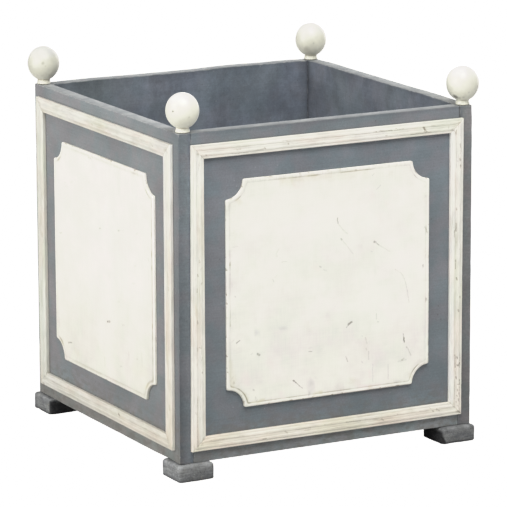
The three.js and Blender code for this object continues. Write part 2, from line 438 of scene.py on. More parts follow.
def panel_material(name, seed, line_at=(4.3, 5.3, 5.7, 6.9), uneven=1.0):
    """Raised panel: cream paint, soiled along its rim, with scratches and nicks.
    ins is the distance in from the outline, in millimetres."""
    t = Tree(name)
    pc = t.attr("pc")
    fc = t.attr("fc")
    ins = t.val("ins")
    colour, weave, blot = cream_surface(t, pc, uneven)
    # the panel's shade attribute: painted shade and light, with some yellowing
    colour = t.vec("MULTIPLY", colour, t.attr("shade"))
    # soft grime in patches towards the foot of the panel and round its rim
    grime = t.noise(t.scaled(pc, 1, 1, 1, (seed, 0.3, 0.9)), 34.0, 5.0, 0.62)
    near_rim = t.span(ins, 26.0, 2.0)
    soft = t.math("MULTIPLY", t.span(grime, 0.52, 0.72), t.math("MULTIPLY_ADD", near_rim, 0.30, 0.10 * uneven))
    colour = t.mix(soft, colour, (0.56, 0.53, 0.44))
    # a faint painted shade in the hollow inside the raised lip, and the line in it where dirt has settled
    speck = t.noise(t.scaled(pc, 1, 1, 1, (0.4, seed, 0.2)), 60.0, 3.0, 0.6)
    colour = t.times(colour, t.math("SUBTRACT", 1.0, t.math(
        "MULTIPLY", t.math("MULTIPLY", t.span(ins, 3.6, 4.6), t.span(ins, 10.5, 6.5)), 0.035)))
    line = t.math("MULTIPLY", t.span(ins, line_at[0], line_at[1]), t.span(ins, line_at[3], line_at[2]))
    gr = t.val("gr")
    line = t.math("MULTIPLY", line, t.math("MULTIPLY", gr, t.span(speck, 0.30, 0.60, 0.35, 1.15)), clamp=True)
    colour = t.mix(line, colour, (0.235, 0.195, 0.125))
    halo = t.math("MULTIPLY", t.math("MULTIPLY", t.span(ins, 2.0, 5.0), t.span(ins, 16.0, 6.0)), t.span(gr, 0.35, 1.0))
    colour = t.mix(t.math("MULTIPLY", halo, t.span(speck, 0.32, 0.62, 0.05, 0.42)), colour, (0.60, 0.58, 0.44))
    # rubbed and soiled edge
    rim = t.span(ins, 2.6, 0.6)
    rubbed = t.math("MULTIPLY", rim, t.span(t.noise(pc, 130.0, 3.0, 0.6), 0.56, 0.66, 0.0, 0.65))
    rub = t.val("rub")
    rubbed = t.math("MULTIPLY", rubbed, rub)
    bare = t.math("MULTIPLY", t.span(t.split(fc)[1], 0.4052, 0.4064), t.span(rub, 1.0, 2.3, 0.0, 0.55))
    rubbed = t.math("MAXIMUM", rubbed, bare)
    colour = t.mix(rubbed, colour, (0.36, 0.31, 0.24))
    # soiled top edge
    top = t.math("MULTIPLY", t.span(t.split(fc)[1], 0.088, 0.072), t.span(ins, 16.0, 3.0))
    streak = t.noise(t.scaled(pc, 260, 60, 60, (seed, seed, 1.0)), 1.0, 3.0, 0.6)
    colour = t.mix(t.math("MULTIPLY", top, t.span(streak, 0.46, 0.66, 0.0, 0.22)), colour, (0.46, 0.41, 0.30))
    # specks of dirt over the field
    dots = t.cells(t.scaled(pc, 1, 1, 1, (seed * 2.0, 0.1, 0.7)), 34.0)
    pick = t.span(t.noise(pc, 19.0, 1.0), 0.57, 0.60)
    fly = t.math("MULTIPLY", t.span(dots, 0.075, 0.035), pick)
    colour = t.mix(t.math("MULTIPLY", fly, 0.45), colour, (0.40, 0.34, 0.25))
    height = t.math("MULTIPLY", weave, 0.5)
    # smudges, then scratches and nicks
    blur = t.span(speck, 0.34, 0.6, 0.55, 1.0)
    for share, tone in zip(t.split(t.attr("sm")), SMUDGE_TONES):
        colour = t.mix(t.math("MULTIPLY", share, blur), colour, tone)
    broken = t.span(t.noise(pc, 420.0, 2.0, 0.6), 0.34, 0.54, 0.55, 1.0)
    cut = t.math("MULTIPLY", t.val("cut"), broken)
    colour = t.mix(cut, colour, (0.205, 0.180, 0.145))
    height = t.math("SUBTRACT", height, t.math("MULTIPLY", cut, 1.8))
    rough = t.span(t.noise(pc, 45.0, 3.0, 0.6), 0.3, 0.7, 0.42, 0.56)
    return t.finish(colour, rough, height, 0.00022, specular=0.45)


def moulding_material(name, seed):
    """Cream paint on a run moulding, yellowed and grubby: rubbed crests, darker
    lines at the foot of the beads (grime, and painted shade in the creases). pu is the place across the section in
    millimetres, em the distance to the mitre."""
    t = Tree(name)
    pc = t.attr("pc")
    pu = t.val("pu")
    em = t.val("em")
    colour, weave, blot = cream_surface(t, pc)
    colour = t.mix(0.60, colour, (0.675, 0.655, 0.575))
    pink = t.noise(t.scaled(pc, 60, 12, 60, (0.2, seed, 0.0)), 1.0, 3.0, 0.6)
    colour = t.mix(t.span(pink, 0.42, 0.64, 0.0, 0.62), colour, (0.765, 0.675, 0.590))
    green = t.noise(t.scaled(pc, 40, 9, 40, (5.2, seed, 2.0)), 1.0, 2.0, 0.5)
    colour = t.mix(t.span(green, 0.50, 0.68, 0.0, 0.42), colour, (0.66, 0.665, 0.52))
    clean = t.noise(t.scaled(pc, 30, 8, 30, (1.2, seed, 7.0)), 1.0, 2.0, 0.5)
    colour = t.mix(t.span(clean, 0.52, 0.70, 0.0, 0.40), colour, (0.86, 0.845, 0.78))
    uneven = t.noise(t.scaled(pc, 90, 26, 90, (3.0, seed, 4.0)), 1.0, 3.0, 0.6)
    colour = t.times(colour, t.span(uneven, 0.32, 0.68, 0.93, 1.07))
    colour = t.vec("MULTIPLY", colour, t.attr("tone"))

    def band(centre, reach):
        return t.span(t.math("ABSOLUTE", t.math("SUBTRACT", pu, centre)), reach, reach * 0.3)

    # darker lines at the foot of each bead and at the quirks: grime, and painted shade in these creases
    streak = t.noise(t.scaled(pc, 110, 20, 110, (seed, 0.0, 1.0)), 1.0, 4.0, 0.62)
    feet = t.most(band(8.1, 0.75), band(11.9, 0.75))
    sides = t.most(band(3.0, 0.6), band(17.0, 0.6))
    lines = t.most(
        t.math("MULTIPLY", feet, t.span(streak, 0.42, 0.66, 0.0, 0.25)),
        t.math("MULTIPLY", sides, t.span(streak, 0.46, 0.68, 0.0, 0.15)),
    )
    colour = t.mix(lines, colour, (0.30, 0.255, 0.165))
    # long dirty streaks in patches
    patch = t.noise(t.scaled(pc, 26, 8, 26, (seed * 3.0, 1.0, 0.0)), 1.0, 2.0, 0.5)
    fine = t.noise(t.scaled(pc, 420, 34, 420, (seed, 4.0, 1.0)), 1.0, 3.0, 0.6)
    dirty = t.math("MULTIPLY", t.span(patch, 0.48, 0.66), t.span(fine, 0.48, 0.66, 0.0, 0.26))
    colour = t.mix(dirty, colour, (0.47, 0.40, 0.29))
    # rubbed crests and arrises, through to undercoat in specks
    crest = t.most(band(5.6, 2.2), band(14.4, 2.2))
    grit = t.noise(t.scaled(pc, 1, 0.35, 1, (0.0, seed, 0.5)), 300.0, 4.0, 0.65)
    where = t.noise(t.scaled(pc, 20, 12, 20, (1.0, seed, 2.0)), 1.0, 2.0, 0.5)
    worn = t.math("MULTIPLY", crest, t.math("MULTIPLY", t.span(grit, 0.58, 0.66), t.span(where, 0.50, 0.62)))
    colour = t.mix(t.math("MULTIPLY", worn, 0.50), colour, (0.30, 0.25, 0.18))
    # fine dark line at each mitre, grime in the corner
    mitre = t.span(em, 0.7, 0.1)
    colour = t.mix(t.math("MULTIPLY", mitre, t.span(streak, 0.36, 0.62, 0.0, 0.26)), colour, (0.40, 0.355, 0.26))
    corner = t.math("MULTIPLY", t.span(em, 12.0, 2.0), t.span(grit, 0.50, 0.62))
    colour = t.mix(t.math("MULTIPLY", corner, 0.26), colour, (0.38, 0.36, 0.24))
    # nicks and stains
    cut = t.math("MULTIPLY", t.val("cut"), t.span(t.noise(pc, 420.0, 2.0, 0.6), 0.34, 0.54, 0.5, 1.0))
    colour = t.mix(cut, colour, (0.215, 0.175, 0.115))
    height = t.math("SUBTRACT", t.math("MULTIPLY", weave, 0.55), t.math("MULTIPLY", t.most(worn, cut), 0.9))
    rough = t.math("ADD", t.span(blot, 0.3, 0.7, 0.42, 0.52), t.math("MULTIPLY", t.most(worn, dirty), 0.2))
    return t.finish(colour, rough, height, 0.00022, specular=0.45)


def wall_material():
    """Blue-grey paint, brushed, chalky and mottled; paler and rubbed on the arrises,
    and paler on the rim with dust and a painted sheen. fc is (across, up, side) on the board, ed the distance
    to the nearest arris in millimetres, tint the board's paint tone with painted shade and light in it."""
    t = Tree("wall_paint_blue_grey")
    pc = t.attr("pc")
    fc = t.attr("fc")
    ed = t.val("ed")
    rim = t.val("rim")
    endg = t.val("endg")
    tint_and_painted_shade = t.attr("tint_and_painted_shade")
    side = t.split(fc)[2]
    inside = t.span(side, -0.2, -0.9)
    mott = t.noise(pc, 16.0, 4.0, 0.6)
    hue = t.noise(t.scaled(pc, 1, 1, 1, (2.0, 5.0, 1.0)), 30.0, 3.0, 0.55)
    colour = t.mix(t.span(hue, 0.38, 0.62), (0.180, 0.206, 0.220), (0.201, 0.206, 0.220))
    inner = t.mix(t.span(hue, 0.38, 0.62), (0.159, 0.182, 0.211), (0.170, 0.186, 0.210))
    teal = t.noise(t.scaled(pc, 1, 0.8, 1, (4.0, 1.0, 6.0)), 13.0, 3.0, 0.55)
    inner = t.mix(t.span(teal, 0.44, 0.62, 0.0, 0.40), inner, (0.141, 0.178, 0.187))
    colour = t.mix(inside, colour, inner)
    colour = t.times(colour, t.span(mott, 0.28, 0.72, 0.90, 1.09))
    fine = t.noise(t.scaled(pc, 1, 1, 1, (0.0, 1.0, 3.0)), 420.0, 3.0, 0.7)
    colour = t.times(colour, t.span(fine, 0.3, 0.7, 0.93, 1.08))
    # brushing: along the board outside, up and down inside
    lay = t.noise(t.scaled(pc, 12, 420, 12), 1.0, 3.0, 0.6)
    drop = t.noise(t.scaled(pc, 300, 7, 300, (0.0, 3.0, 1.0)), 1.0, 3.0, 0.6)
    colour = t.times(colour, t.span(lay, 0.3, 0.7, 0.965, 1.035))
    wash = t.math("MULTIPLY", inside, t.span(drop, 0.36, 0.68, -0.015, 0.015))
    speckled = t.noise(t.scaled(pc, 1, 1, 1, (1.0, 6.0, 2.0)), 75.0, 5.0, 0.7)
    wash = t.math("ADD", wash, t.math("MULTIPLY", inside, t.span(speckled, 0.34, 0.66, -0.08, 0.08)))
    cloud = t.noise(t.scaled(pc, 1, 0.6, 1, (3.0, 8.0, 1.0)), 20.0, 4.0, 0.62)
    wash = t.math("ADD", wash, t.math("MULTIPLY", inside, t.span(cloud, 0.34, 0.66, -0.15, 0.13)))
    colour = t.times(colour, t.math("ADD", wash, 1.0))
    # paler rim: dust, and a painted sheen where the top catches the light
    patchy = t.noise(t.scaled(pc, 1, 1, 1, (6.0, 2.0, 3.0)), 55.0, 4.0, 0.65)
    top = t.mix(t.span(patchy, 0.36, 0.64), (0.300, 0.312, 0.316), (0.420, 0.428, 0.420))
    colour = t.mix(t.math("MULTIPLY", rim, 0.86), colour, top)
    # the board's tint, with its painted shade and light
    colour = t.vec("MULTIPLY", colour, tint_and_painted_shade)
    # end grain drinks the paint: darker, with short lines
    ends = t.noise(t.scaled(pc, 1, 1, 1, (9.0, 1.0, 0.0)), 240.0, 4.0, 0.6)
    colour = t.times(colour, t.math("SUBTRACT", 1.0, t.math("MULTIPLY", endg, t.span(ends, 0.3, 0.7, 0.02, 0.16))))
    # rubbed arrises
    chip = t.noise(t.scaled(pc, 1, 1, 1, (4.0, 4.0, 4.0)), 90.0, 5.0, 0.65)
    worn = t.val("worn")
    edge = t.math("MULTIPLY", t.span(ed, 2.0, 0.3), t.span(chip, 0.44, 0.62, 0.10, 0.75))
    edge = t.math("MULTIPLY", edge, worn)
    colour = t.mix(edge, colour, (0.36, 0.365, 0.36))
    bare = t.math("MULTIPLY", t.span(ed, 1.4, 0.2), t.span(chip, 0.62, 0.68))
    bare = t.math("MULTIPLY", bare, worn)
    colour = t.mix(t.math("MULTIPLY", bare, 0.6), colour, (0.30, 0.25, 0.19))
    # painted contact shade, with a little grime, where the mouldings meet the board
    across, up = t.math("ABSOLUTE", t.split(fc)[0]), t.math("ABSOLUTE", t.split(fc)[1])
    ring = t.math("MAXIMUM", across, up)
    outer = t.span(t.math("ABSOLUTE", t.math("SUBTRACT", ring, 0.2232)), 0.0028, 0.0004)
    inner_line = t.span(t.math("ABSOLUTE", t.math("SUBTRACT", ring, 0.2018)), 0.0034, 0.0004)
    seam = t.math("MULTIPLY", t.math("MAXIMUM", outer, inner_line), t.span(side, 0.5, 0.95))
    seam = t.math("MULTIPLY", seam, t.span(mott, 0.3, 0.6, 0.02, 0.20))
    colour = t.mix(seam, colour, (0.075, 0.072, 0.066))
    # damp stains low down, brownish
    low = t.span(t.split(fc)[1], -0.150, -0.215)
    damp = t.noise(t.scaled(pc, 1, 1.6, 1, (2.0, 9.0, 4.0)), 70.0, 4.0, 0.65)
    damp = t.math("MULTIPLY", t.math("MULTIPLY", low, t.span(side, 0.3, 0.9)), t.span(damp, 0.42, 0.66, 0.0, 1.0))
    damp = t.math("MULTIPLY", damp, t.val("damp"))
    colour = t.mix(damp, colour, (0.150, 0.136, 0.121))
    # a few small dark chips
    dots = t.cells(t.scaled(pc, 1, 1, 1, (0.3, 0.6, 0.9)), 62.0)
    pick = t.span(t.noise(pc, 23.0, 1.0), 0.54, 0.58)
    fly = t.math("MULTIPLY", t.span(dots, 0.10, 0.05), pick)
    colour = t.mix(t.math("MULTIPLY", fly, 0.5), colour, (0.10, 0.10, 0.10))
    # and small pale ones
    dots = t.cells(t.scaled(pc, 1, 1, 1, (0.7, 0.2, 0.5)), 105.0)
    pick = t.span(t.noise(t.scaled(pc, 1, 1, 1, (5.0, 5.0, 2.0)), 34.0, 1.0), 0.55, 0.59)
    fly = t.math("MULTIPLY", t.span(dots, 0.12, 0.06), pick)
    colour = t.mix(t.math("MULTIPLY", fly, 0.34), colour, (0.42, 0.42, 0.41))
    height = t.add(
        t.math("MULTIPLY", fine, 0.35),
        t.math("MULTIPLY", lay, 0.5),
        t.math("MULTIPLY", t.math("MULTIPLY", drop, inside), 0.5),
        t.math("MULTIPLY", t.math("MULTIPLY", ends, endg), 0.8),
    )
    rough = t.span(mott, 0.3, 0.7, 0.56, 0.70)
    return t.finish(colour, rough, height, 0.00028, specular=0.4)


def finial_material():
    """Cream paint on a turned ball: faint turning lines, a soiled lower right
    side and neck, a painted highlight over the top, painted light under the ball and on its right, and painted contact
    shade where the neck meets the rim. ph is the height on the finial in millimetres."""
    t = Tree("finial_paint_cream")
    pc = t.attr("pc")
    ph = t.val("ph")
    colour, weave, blot = cream_surface(t, pc)
    colour = t.mix(0.80, colour, (0.832, 0.818, 0.682))
    # painted highlight: the top of the ball turns paler
    colour = t.mix(t.span(ph, 38.0, 53.0, 0.0, 0.92), colour, (0.880, 0.872, 0.835))
    film = t.noise(t.scaled(pc, 1, 1, 1, (2.5, 0.5, 3.5)), 48.0, 3.0, 0.6)
    colour = t.times(colour, t.span(film, 0.32, 0.68, 0.94, 1.05))
    # painted light: the lower half of the ball is made paler
    colour = t.times(colour, t.span(ph, 28.0, 9.0, 1.0, 1.16))
    colour = t.times(colour, t.val("tone"))
    grime = t.noise(t.scaled(pc, 1, 1, 1, (0.5, 0.5, 0.5)), 55.0, 4.0, 0.6)
    low = t.span(ph, 34.0, 10.0)
    colour = t.mix(t.math("MULTIPLY", low, t.span(grime, 0.4, 0.66, 0.0, 0.20)), colour, (0.60, 0.57, 0.45))
    joint = t.math("MULTIPLY", t.span(t.math("ABSOLUTE", t.math("SUBTRACT", ph, 7.4)), 1.8, 0.3), 1.0)
    colour = t.mix(t.math("MULTIPLY", joint, t.span(grime, 0.35, 0.6, 0.25, 0.6)), colour, (0.40, 0.35, 0.24))
    # painted contact shade where the neck meets the rim
    base = t.span(ph, 2.0, 0.3)
    colour = t.mix(t.math("MULTIPLY", base, 0.45), colour, (0.30, 0.28, 0.24))
    dots = t.cells(t.scaled(pc, 1, 1, 1, (0.9, 0.2, 0.4)), 62.0)
    pick = t.span(t.noise(pc, 41.0, 1.0), 0.58, 0.61)
    fly = t.math("MULTIPLY", t.span(dots, 0.10, 0.05), pick)
    colour = t.mix(t.math("MULTIPLY", fly, 0.6), colour, (0.30, 0.27, 0.21))
    stain = t.val("stain")
    colour = t.mix(stain, colour, (0.085, 0.078, 0.062))
    lathe = t.node("CombineXYZ")
    t.put(lathe.inputs[2], t.math("MULTIPLY", ph, 1.3))
    turned = t.noise(lathe.outputs[0], 1.0, 2.0, 0.5)
    height = t.add(t.math("MULTIPLY", turned, 0.35), t.math("MULTIPLY", weave, 0.35), t.math("MULTIPLY", fly, -0.8))
    rough = t.span(blot, 0.3, 0.7, 0.31, 0.42)
    return t.finish(colour, rough, height, 0.00018, specular=0.5, dust=0.5)


def foot_material():
    """Grey paint on rough-sawn blocks: saw lines, worn pale patches, dark foot."""
    t = Tree("foot_paint_rough_grey")
    pc = t.attr("pc")
    fz = t.val("fz")
    ed = t.val("ed")
    mott = t.noise(pc, 60.0, 5.0, 0.65)
    saw = t.noise(t.scaled(pc, 60, 60, 430, (0.0, 0.0, 2.0)), 1.0, 4.0, 0.65)
    grain = t.noise(t.scaled(pc, 1, 1, 1, (1.0, 2.0, 3.0)), 330.0, 4.0, 0.7)
    colour = t.mix(t.span(mott, 0.35, 0.65), (0.150, 0.153, 0.156), (0.225, 0.228, 0.222))
    colour = t.times(colour, t.span(saw, 0.3, 0.7, 0.76, 1.20))
    colour = t.times(colour, t.span(grain, 0.3, 0.7, 0.82, 1.18))
    pale = t.noise(t.scaled(pc, 1, 1, 1, (7.0, 3.0, 1.0)), 75.0, 4.0, 0.6)
    top = t.span(fz, 17.0, 23.0)
    colour = t.mix(t.math("MULTIPLY", top, t.span(pale, 0.42, 0.64, 0.05, 0.55)), colour, (0.34, 0.345, 0.345))
    rub = t.math("MULTIPLY", t.span(ed, 2.6, 0.4), t.span(pale, 0.46, 0.62, 0.0, 0.6))
    colour = t.mix(rub, colour, (0.36, 0.36, 0.34))
    bare = t.span(t.noise(t.scaled(pc, 1, 1, 1, (3.0, 3.0, 9.0)), 110.0, 4.0, 0.6), 0.63, 0.70)
    colour = t.mix(t.math("MULTIPLY", bare, 0.45), colour, (0.30, 0.27, 0.215))
    foot = t.math("MULTIPLY", t.span(fz, 7.0, 0.6), t.span(mott, 0.3, 0.6, 0.45, 0.95))
    colour = t.mix(foot, colour, (0.045, 0.045, 0.044))
    colour = t.times(colour, t.val("tone"))
    # painted shadow: the sides that face in under the tub turn near black
    colour = t.mix(t.math("MULTIPLY", t.val("inn"), t.span(grain, 0.3, 0.7, 0.99, 0.90)), colour, (0.016, 0.016, 0.017))
    pits = t.span(t.cells(t.scaled(pc, 1, 1, 0.6), 260.0), 0.32, 0.12)
    colour = t.mix(t.math("MULTIPLY", pits, 0.30), colour, (0.06, 0.06, 0.06))
    height = t.add(t.math("MULTIPLY", saw, 0.9), t.math("MULTIPLY", grain, 0.7), t.math("MULTIPLY", pits, -0.5))
    rough = t.span(mott, 0.3, 0.7, 0.70, 0.84)
    return t.finish(colour, rough, height, 0.0005, specular=0.3)


def wood_material():
    """Bare planed softwood, a little grey and damp-stained."""
    t = Tree("floor_wood_bare")
    pc = t.attr("pc")
    ed = t.val("ed")
    warp = t.noise(t.scaled(pc, 5, 1.2, 5), 1.0, 2.0, 0.5)
    rings = t.node("TexWave", wave_type="RINGS", rings_direction="Y", wave_profile="SIN")
    t.put(rings.inputs["Vector"], t.scaled(pc, 1, 0.035, 1, (0.006, 0.0, 0.045)))
    rings.inputs["Scale"].default_value = 44.0
    rings.inputs["Distortion"].default_value = 3.0
    rings.inputs["Detail"].default_value = 2.0
    rings.inputs["Detail Scale"].default_value = 1.2
    late = rings.outputs["Fac"]
    colour = t.mix(t.span(late, 0.35, 0.95), (0.47, 0.335, 0.205), (0.285, 0.175, 0.095))
    fibre = t.noise(t.scaled(pc, 900, 16, 900), 1.0, 3.0, 0.6)
    colour = t.times(colour, t.span(fibre, 0.3, 0.7, 0.86, 1.10))
    age = t.noise(t.scaled(pc, 10, 4, 10, (2.0, 1.0, 0.0)), 1.0, 4.0, 0.6)
    colour = t.mix(t.span(age, 0.42, 0.72, 0.12, 0.55), colour, (0.235, 0.215, 0.185))
    edge = t.math("MULTIPLY", t.span(ed, 3.0, 0.4), t.span(age, 0.35, 0.6, 0.15, 0.5))
    colour = t.mix(edge, colour, (0.16, 0.125, 0.09))
    soil = t.span(t.noise(t.scaled(pc, 1, 1, 1, (1.0, 0.0, 4.0)), 240.0, 3.0, 0.65), 0.62, 0.70)
    colour = t.mix(t.math("MULTIPLY", soil, 0.35), colour, (0.07, 0.05, 0.035))
    height = t.add(t.math("MULTIPLY", fibre, 0.6), t.math("MULTIPLY", late, 0.5))
    rough = t.span(fibre, 0.3, 0.7, 0.66, 0.80)
    return t.finish(colour, rough, height, 0.00035, specular=0.3)


WALL = wall_material()
FINIAL = finial_material()
FOOT_PAINT = foot_material()
WOOD = wood_material()


# ---- wall boards -------------------------------------------------------------
# each board's tint; the left board is made paler, painted light for the face the light falls on most
TINTS_AND_LIT_SIDE = {
    "front": (1.0, 1.0, 1.0),
    "left": (1.17, 1.13, 1.08),
    "right": (1.0, 1.0, 1.0),
    "back": (1.02, 1.0, 1.0),
}


RIM_SHADE = {"front": 0.81, "left": 0.94, "right": 0.93, "back": 0.95}
# painted shade of each rim over its depth, darker towards its rounded arris
RIM_FADE = {"front": (0.58, 0.66, 0.84, 0.99, 1.05), "left": (0.78, 0.82, 0.92, 1.02, 1.06),
            "right": (0.58, 0.64, 0.80, 0.92, 0.98), "back": (0.62, 0.68, 0.84, 0.98, 1.03)}


def board_shade(face, where, out):
    """Each board's paint tone over its height and at its ends, with painted shade and light in it: darker towards the
    foot and below the panel, into the inside corners and by the rounded arrises, and paler on the left board.
    """
    n = len(where)
    shade = np.tile(np.array(TINTS_AND_LIT_SIDE[face]), (n, 1))
    drop = Z_RIM - where[:, 2]
    # painted shade: the outer faces darken towards the foot, most in the band between the panel and the bottom strip
    fade = np.interp(drop, (0, 60, 120, 350, 424, 452, 480), (1.0, 0.98, 0.95, 0.94, 0.87, 0.93, 1.0))
    warm = np.interp(drop, (0, 430, 465, 480), (0, 0, 1, 1))[:, None] * np.array([0.02, 0.0, -0.06])
    outside = {
        "front": -out[:, 1], "left": -out[:, 0], "right": out[:, 0], "back": out[:, 1],
    }[face]
    outside = np.clip((outside - 0.3) / 0.4, 0, 1)[:, None]
    if face == "front":
        fade = fade * np.interp(drop, (400, 430, 480), (1.0, 1.05, 1.10))
        right = np.interp(where[:, 0], (90, 190), (0.0, 1.0)) * np.interp(drop, (0, 240, 400), (1.0, 0.8, 0.35))
        # painted shade just under the rounded top arris; the top 30 mm is a little darker too
        fade = fade * np.interp(drop, (12, 30), (0.975, 1.0)) * np.interp(drop, (1.2, 4.8), (0.84, 1.0))
        fade = fade * (1 - 0.06 * np.interp(drop, (18, 34), (1, 0)) * np.exp(-((where[:, 0] + 45) / 95) ** 2))
        near = np.interp(where[:, 0], (217.6, 218.6), (0.0, 1.0)) * np.interp(drop, (0, 17, 40), (0.50, 0.42, 0.0))
        fade = fade * (1 - near)
        base = np.interp(where[:, 0], (-180, -80, 0, 70, 200), (0.94, 0.95, 1.02, 1.09, 1.12))
        fade = fade * (1 + np.interp(drop, (440, 462), (0, 1)) * (base - 1))
        low = np.interp(drop, (340, 400, 450, 470), (0.0, 1.0, 1.0, 0.3))[:, None] * np.array([0.06, 0.035, 0.03])
        shade = shade * (1 - outside * low)
        blue = np.interp(drop, (14, 40, 90, 160), (0.0, 1.0, 0.8, 0.2))
        shade = shade * (1 + outside * right[:, None] * 0.09) * (1 + outside * blue[:, None] * np.array([0.0, 0.025, 0.05]))
        red = np.interp(where[:, 0], (120, 190), (0.0, 1.0)) * np.interp(drop, (20, 40), (1.0, 0.0))
        shade = shade * (1 + outside * red[:, None] * np.array([0.02, -0.035, -0.03]))
    shade = shade * (1 + outside * (fade[:, None] * (1 + warm) - 1))
    if face == "left":
        foot = np.interp(drop, (0, 440, 466, 480), (0, 0, 1, 1))[:, None] * np.array([0.07, 0.09, 0.12])
        shade = shade * (1 - outside * foot)
        k = 1 + 0.07 * np.interp(drop, (18, 34), (1, 0)) * np.exp(-((where[:, 1] - 10) / 70) ** 2)
        k = k * (1 + 0.10 * np.interp(drop, (445, 462), (0, 1)) * np.interp(where[:, 1], (-150, -115), (1, 0)))
        shade = shade * (1 + outside * (k[:, None] - 1))
        # the narrow fields beside the panel are a touch warmer
        field = np.interp(np.abs(where[:, 1]), (152, 172), (0.0, 1.0)) * np.interp(drop, (50, 75, 400, 440), (0.3, 1.0, 1.0, 0.0))
        field = field * np.where(where[:, 1] > 0, 1.0, 0.6)
        shade = shade * (1 + outside * field[:, None] * np.array([0.040, 0.004, 0.0]))
        # handled and darker towards the front corner
        d = where[:, 1] + HALF
        k = np.interp(d, (0, 14, 22, 45, 90), (0.74, 0.80, 0.86, 0.95, 1.0))[:, None]
        k = k * (1 + np.interp(d, (0, 20, 60), (1, 1, 0))[:, None] * np.array([0.0, 0.02, 0.04]))
        shade = shade * (1 + outside * (k - 1))
        end = np.clip((-out[:, 1] - 0.3) / 0.4, 0, 1)[:, None]
        d = where[:, 0] + HALF
        k = np.interp(d, (0, 3, 12, 20), (0.70, 0.76, 0.86, 0.89)) * np.interp(drop, (0, 340, 410), (1.10, 1.07, 0.98))
        # darker just behind the arris, more so low down
        k = k * (1 - np.interp(drop, (120, 300, 460), (0.0, 0.5, 1.0)) * np.interp(d, (0, 2, 6, 12), (0.40, 0.34, 0.16, 0.0)))
        k = k[:, None] * np.array([0.965, 1.0, 1.05])
        shade = shade * (1 + end * (k * fade[:, None] - 1))
    inside = {"front": out[:, 1], "left": out[:, 0], "right": -out[:, 0], "back": -out[:, 1]}[face]
    inside = np.clip((inside - 0.3) / 0.4, 0, 1)[:, None]
    along = where[:, 0] if face in ("front", "back") else where[:, 1]
    # painted shade: the inside faces darken into the inner corners
    nook = (HALF - BOARD_T) - np.abs(along)
    k = np.interp(nook, (0, 2, 6, 16, 40), (0.58, 0.66, 0.86, 0.96, 1.0))
    if face == "back":
        # the painted corner shade spreads into a soft darker band down beside the right-hand corner
        soft = np.interp(nook, (0, 2, 8, 16, 34), (0.55, 0.62, 0.74, 0.85, 1.0))
        k = np.where(where[:, 0] > 0, k + (np.minimum(k, soft) - k) * np.interp(drop, (15, 60), (0.0, 1.0)), k)
    k = k[:, None]
    shade = shade * (1 + inside * (k - 1))
    # painted light and shade inside the back board: lighter to the right, darker deeper down and towards the left,
    # where the left wall shades it; more olive at the left
    if face == "back":
        lift = np.interp(where[:, 0], (-180, 60), (0.2, 1.0))[:, None]
        shade = shade * (1 + inside * lift * np.array([0.10, 0.12, 0.16]))
        deep = np.interp(drop, (15, 75), (1.03, 0.92)) * np.interp(where[:, 0], (-130, -60), (0.93, 1.0))
        shade = shade * (1 + inside * (deep[:, None] - 1))
        olive = np.interp(where[:, 0], (-150, -60), (1.0, 0.0))[:, None] * np.array([-0.03, -0.028, -0.065])
        shade = shade * (1 + inside * olive)
    # painted shade on the rounded inner arris just below the rim of the back and right boards
    if face in ("back", "right"):
        shade = shade * (1 - inside * np.interp(drop, (1.0, 4.8, 9.0), (0.20, 0.13, 0.0))[:, None])
    if face == "right":
        shade = shade * (1 + inside * np.array([0.06, 0.03, 0.04]))
        shade = shade * (1 + inside * 0.11 * np.interp(where[:, 1], (70, 135), (0.0, 1.0))[:, None])
    if face == "right":
        end = np.clip((-out[:, 1] - 0.3) / 0.4, 0, 1)[:, None]
        k = np.interp(HALF - where[:, 0], (0, 8, 20), (1.32, 1.20, 1.10))[:, None] * np.array([1.06, 0.99, 0.93])
        k = k * (np.interp(drop, (160, 300), (0.98, 0.845)) * np.interp(drop, (0, 40, 62, 410, 440), (1.07, 1.05, 0.94, 0.95, 0.88)))[:, None]
        joint = np.interp(where[:, 0] - HALF + BOARD_T, (0.4, 1.4), (1.0, 0.0)) * np.interp(drop, (0, 17, 40), (0.45, 0.38, 0.0))
        k = k * (1 - joint)[:, None]
        shade = shade * (1 + end * (k * fade[:, None] - 1))
    top = np.clip((out[:, 2] - 0.3) / 0.4, 0, 1)[:, None]
    rim = np.full((n, 3), RIM_SHADE[face])
    # painted shade: each rim turns darker towards its rounded arris on the front or left side
    depth = {"front": where[:, 1] + HALF, "left": where[:, 0] + HALF,
             "right": where[:, 0] - HALF + BOARD_T, "back": where[:, 1] - HALF + BOARD_T}[face]
    rim = rim * np.interp(depth, (0, 2, 5, 10, 20), RIM_FADE[face])[:, None]
    if face == "right":
        rim = rim * (1 + np.interp(where[:, 1], (-240, -40), (1.0, 0.0))[:, None] * np.array([0.02, 0.0, -0.08]))
    return shade + top * (rim - shade)


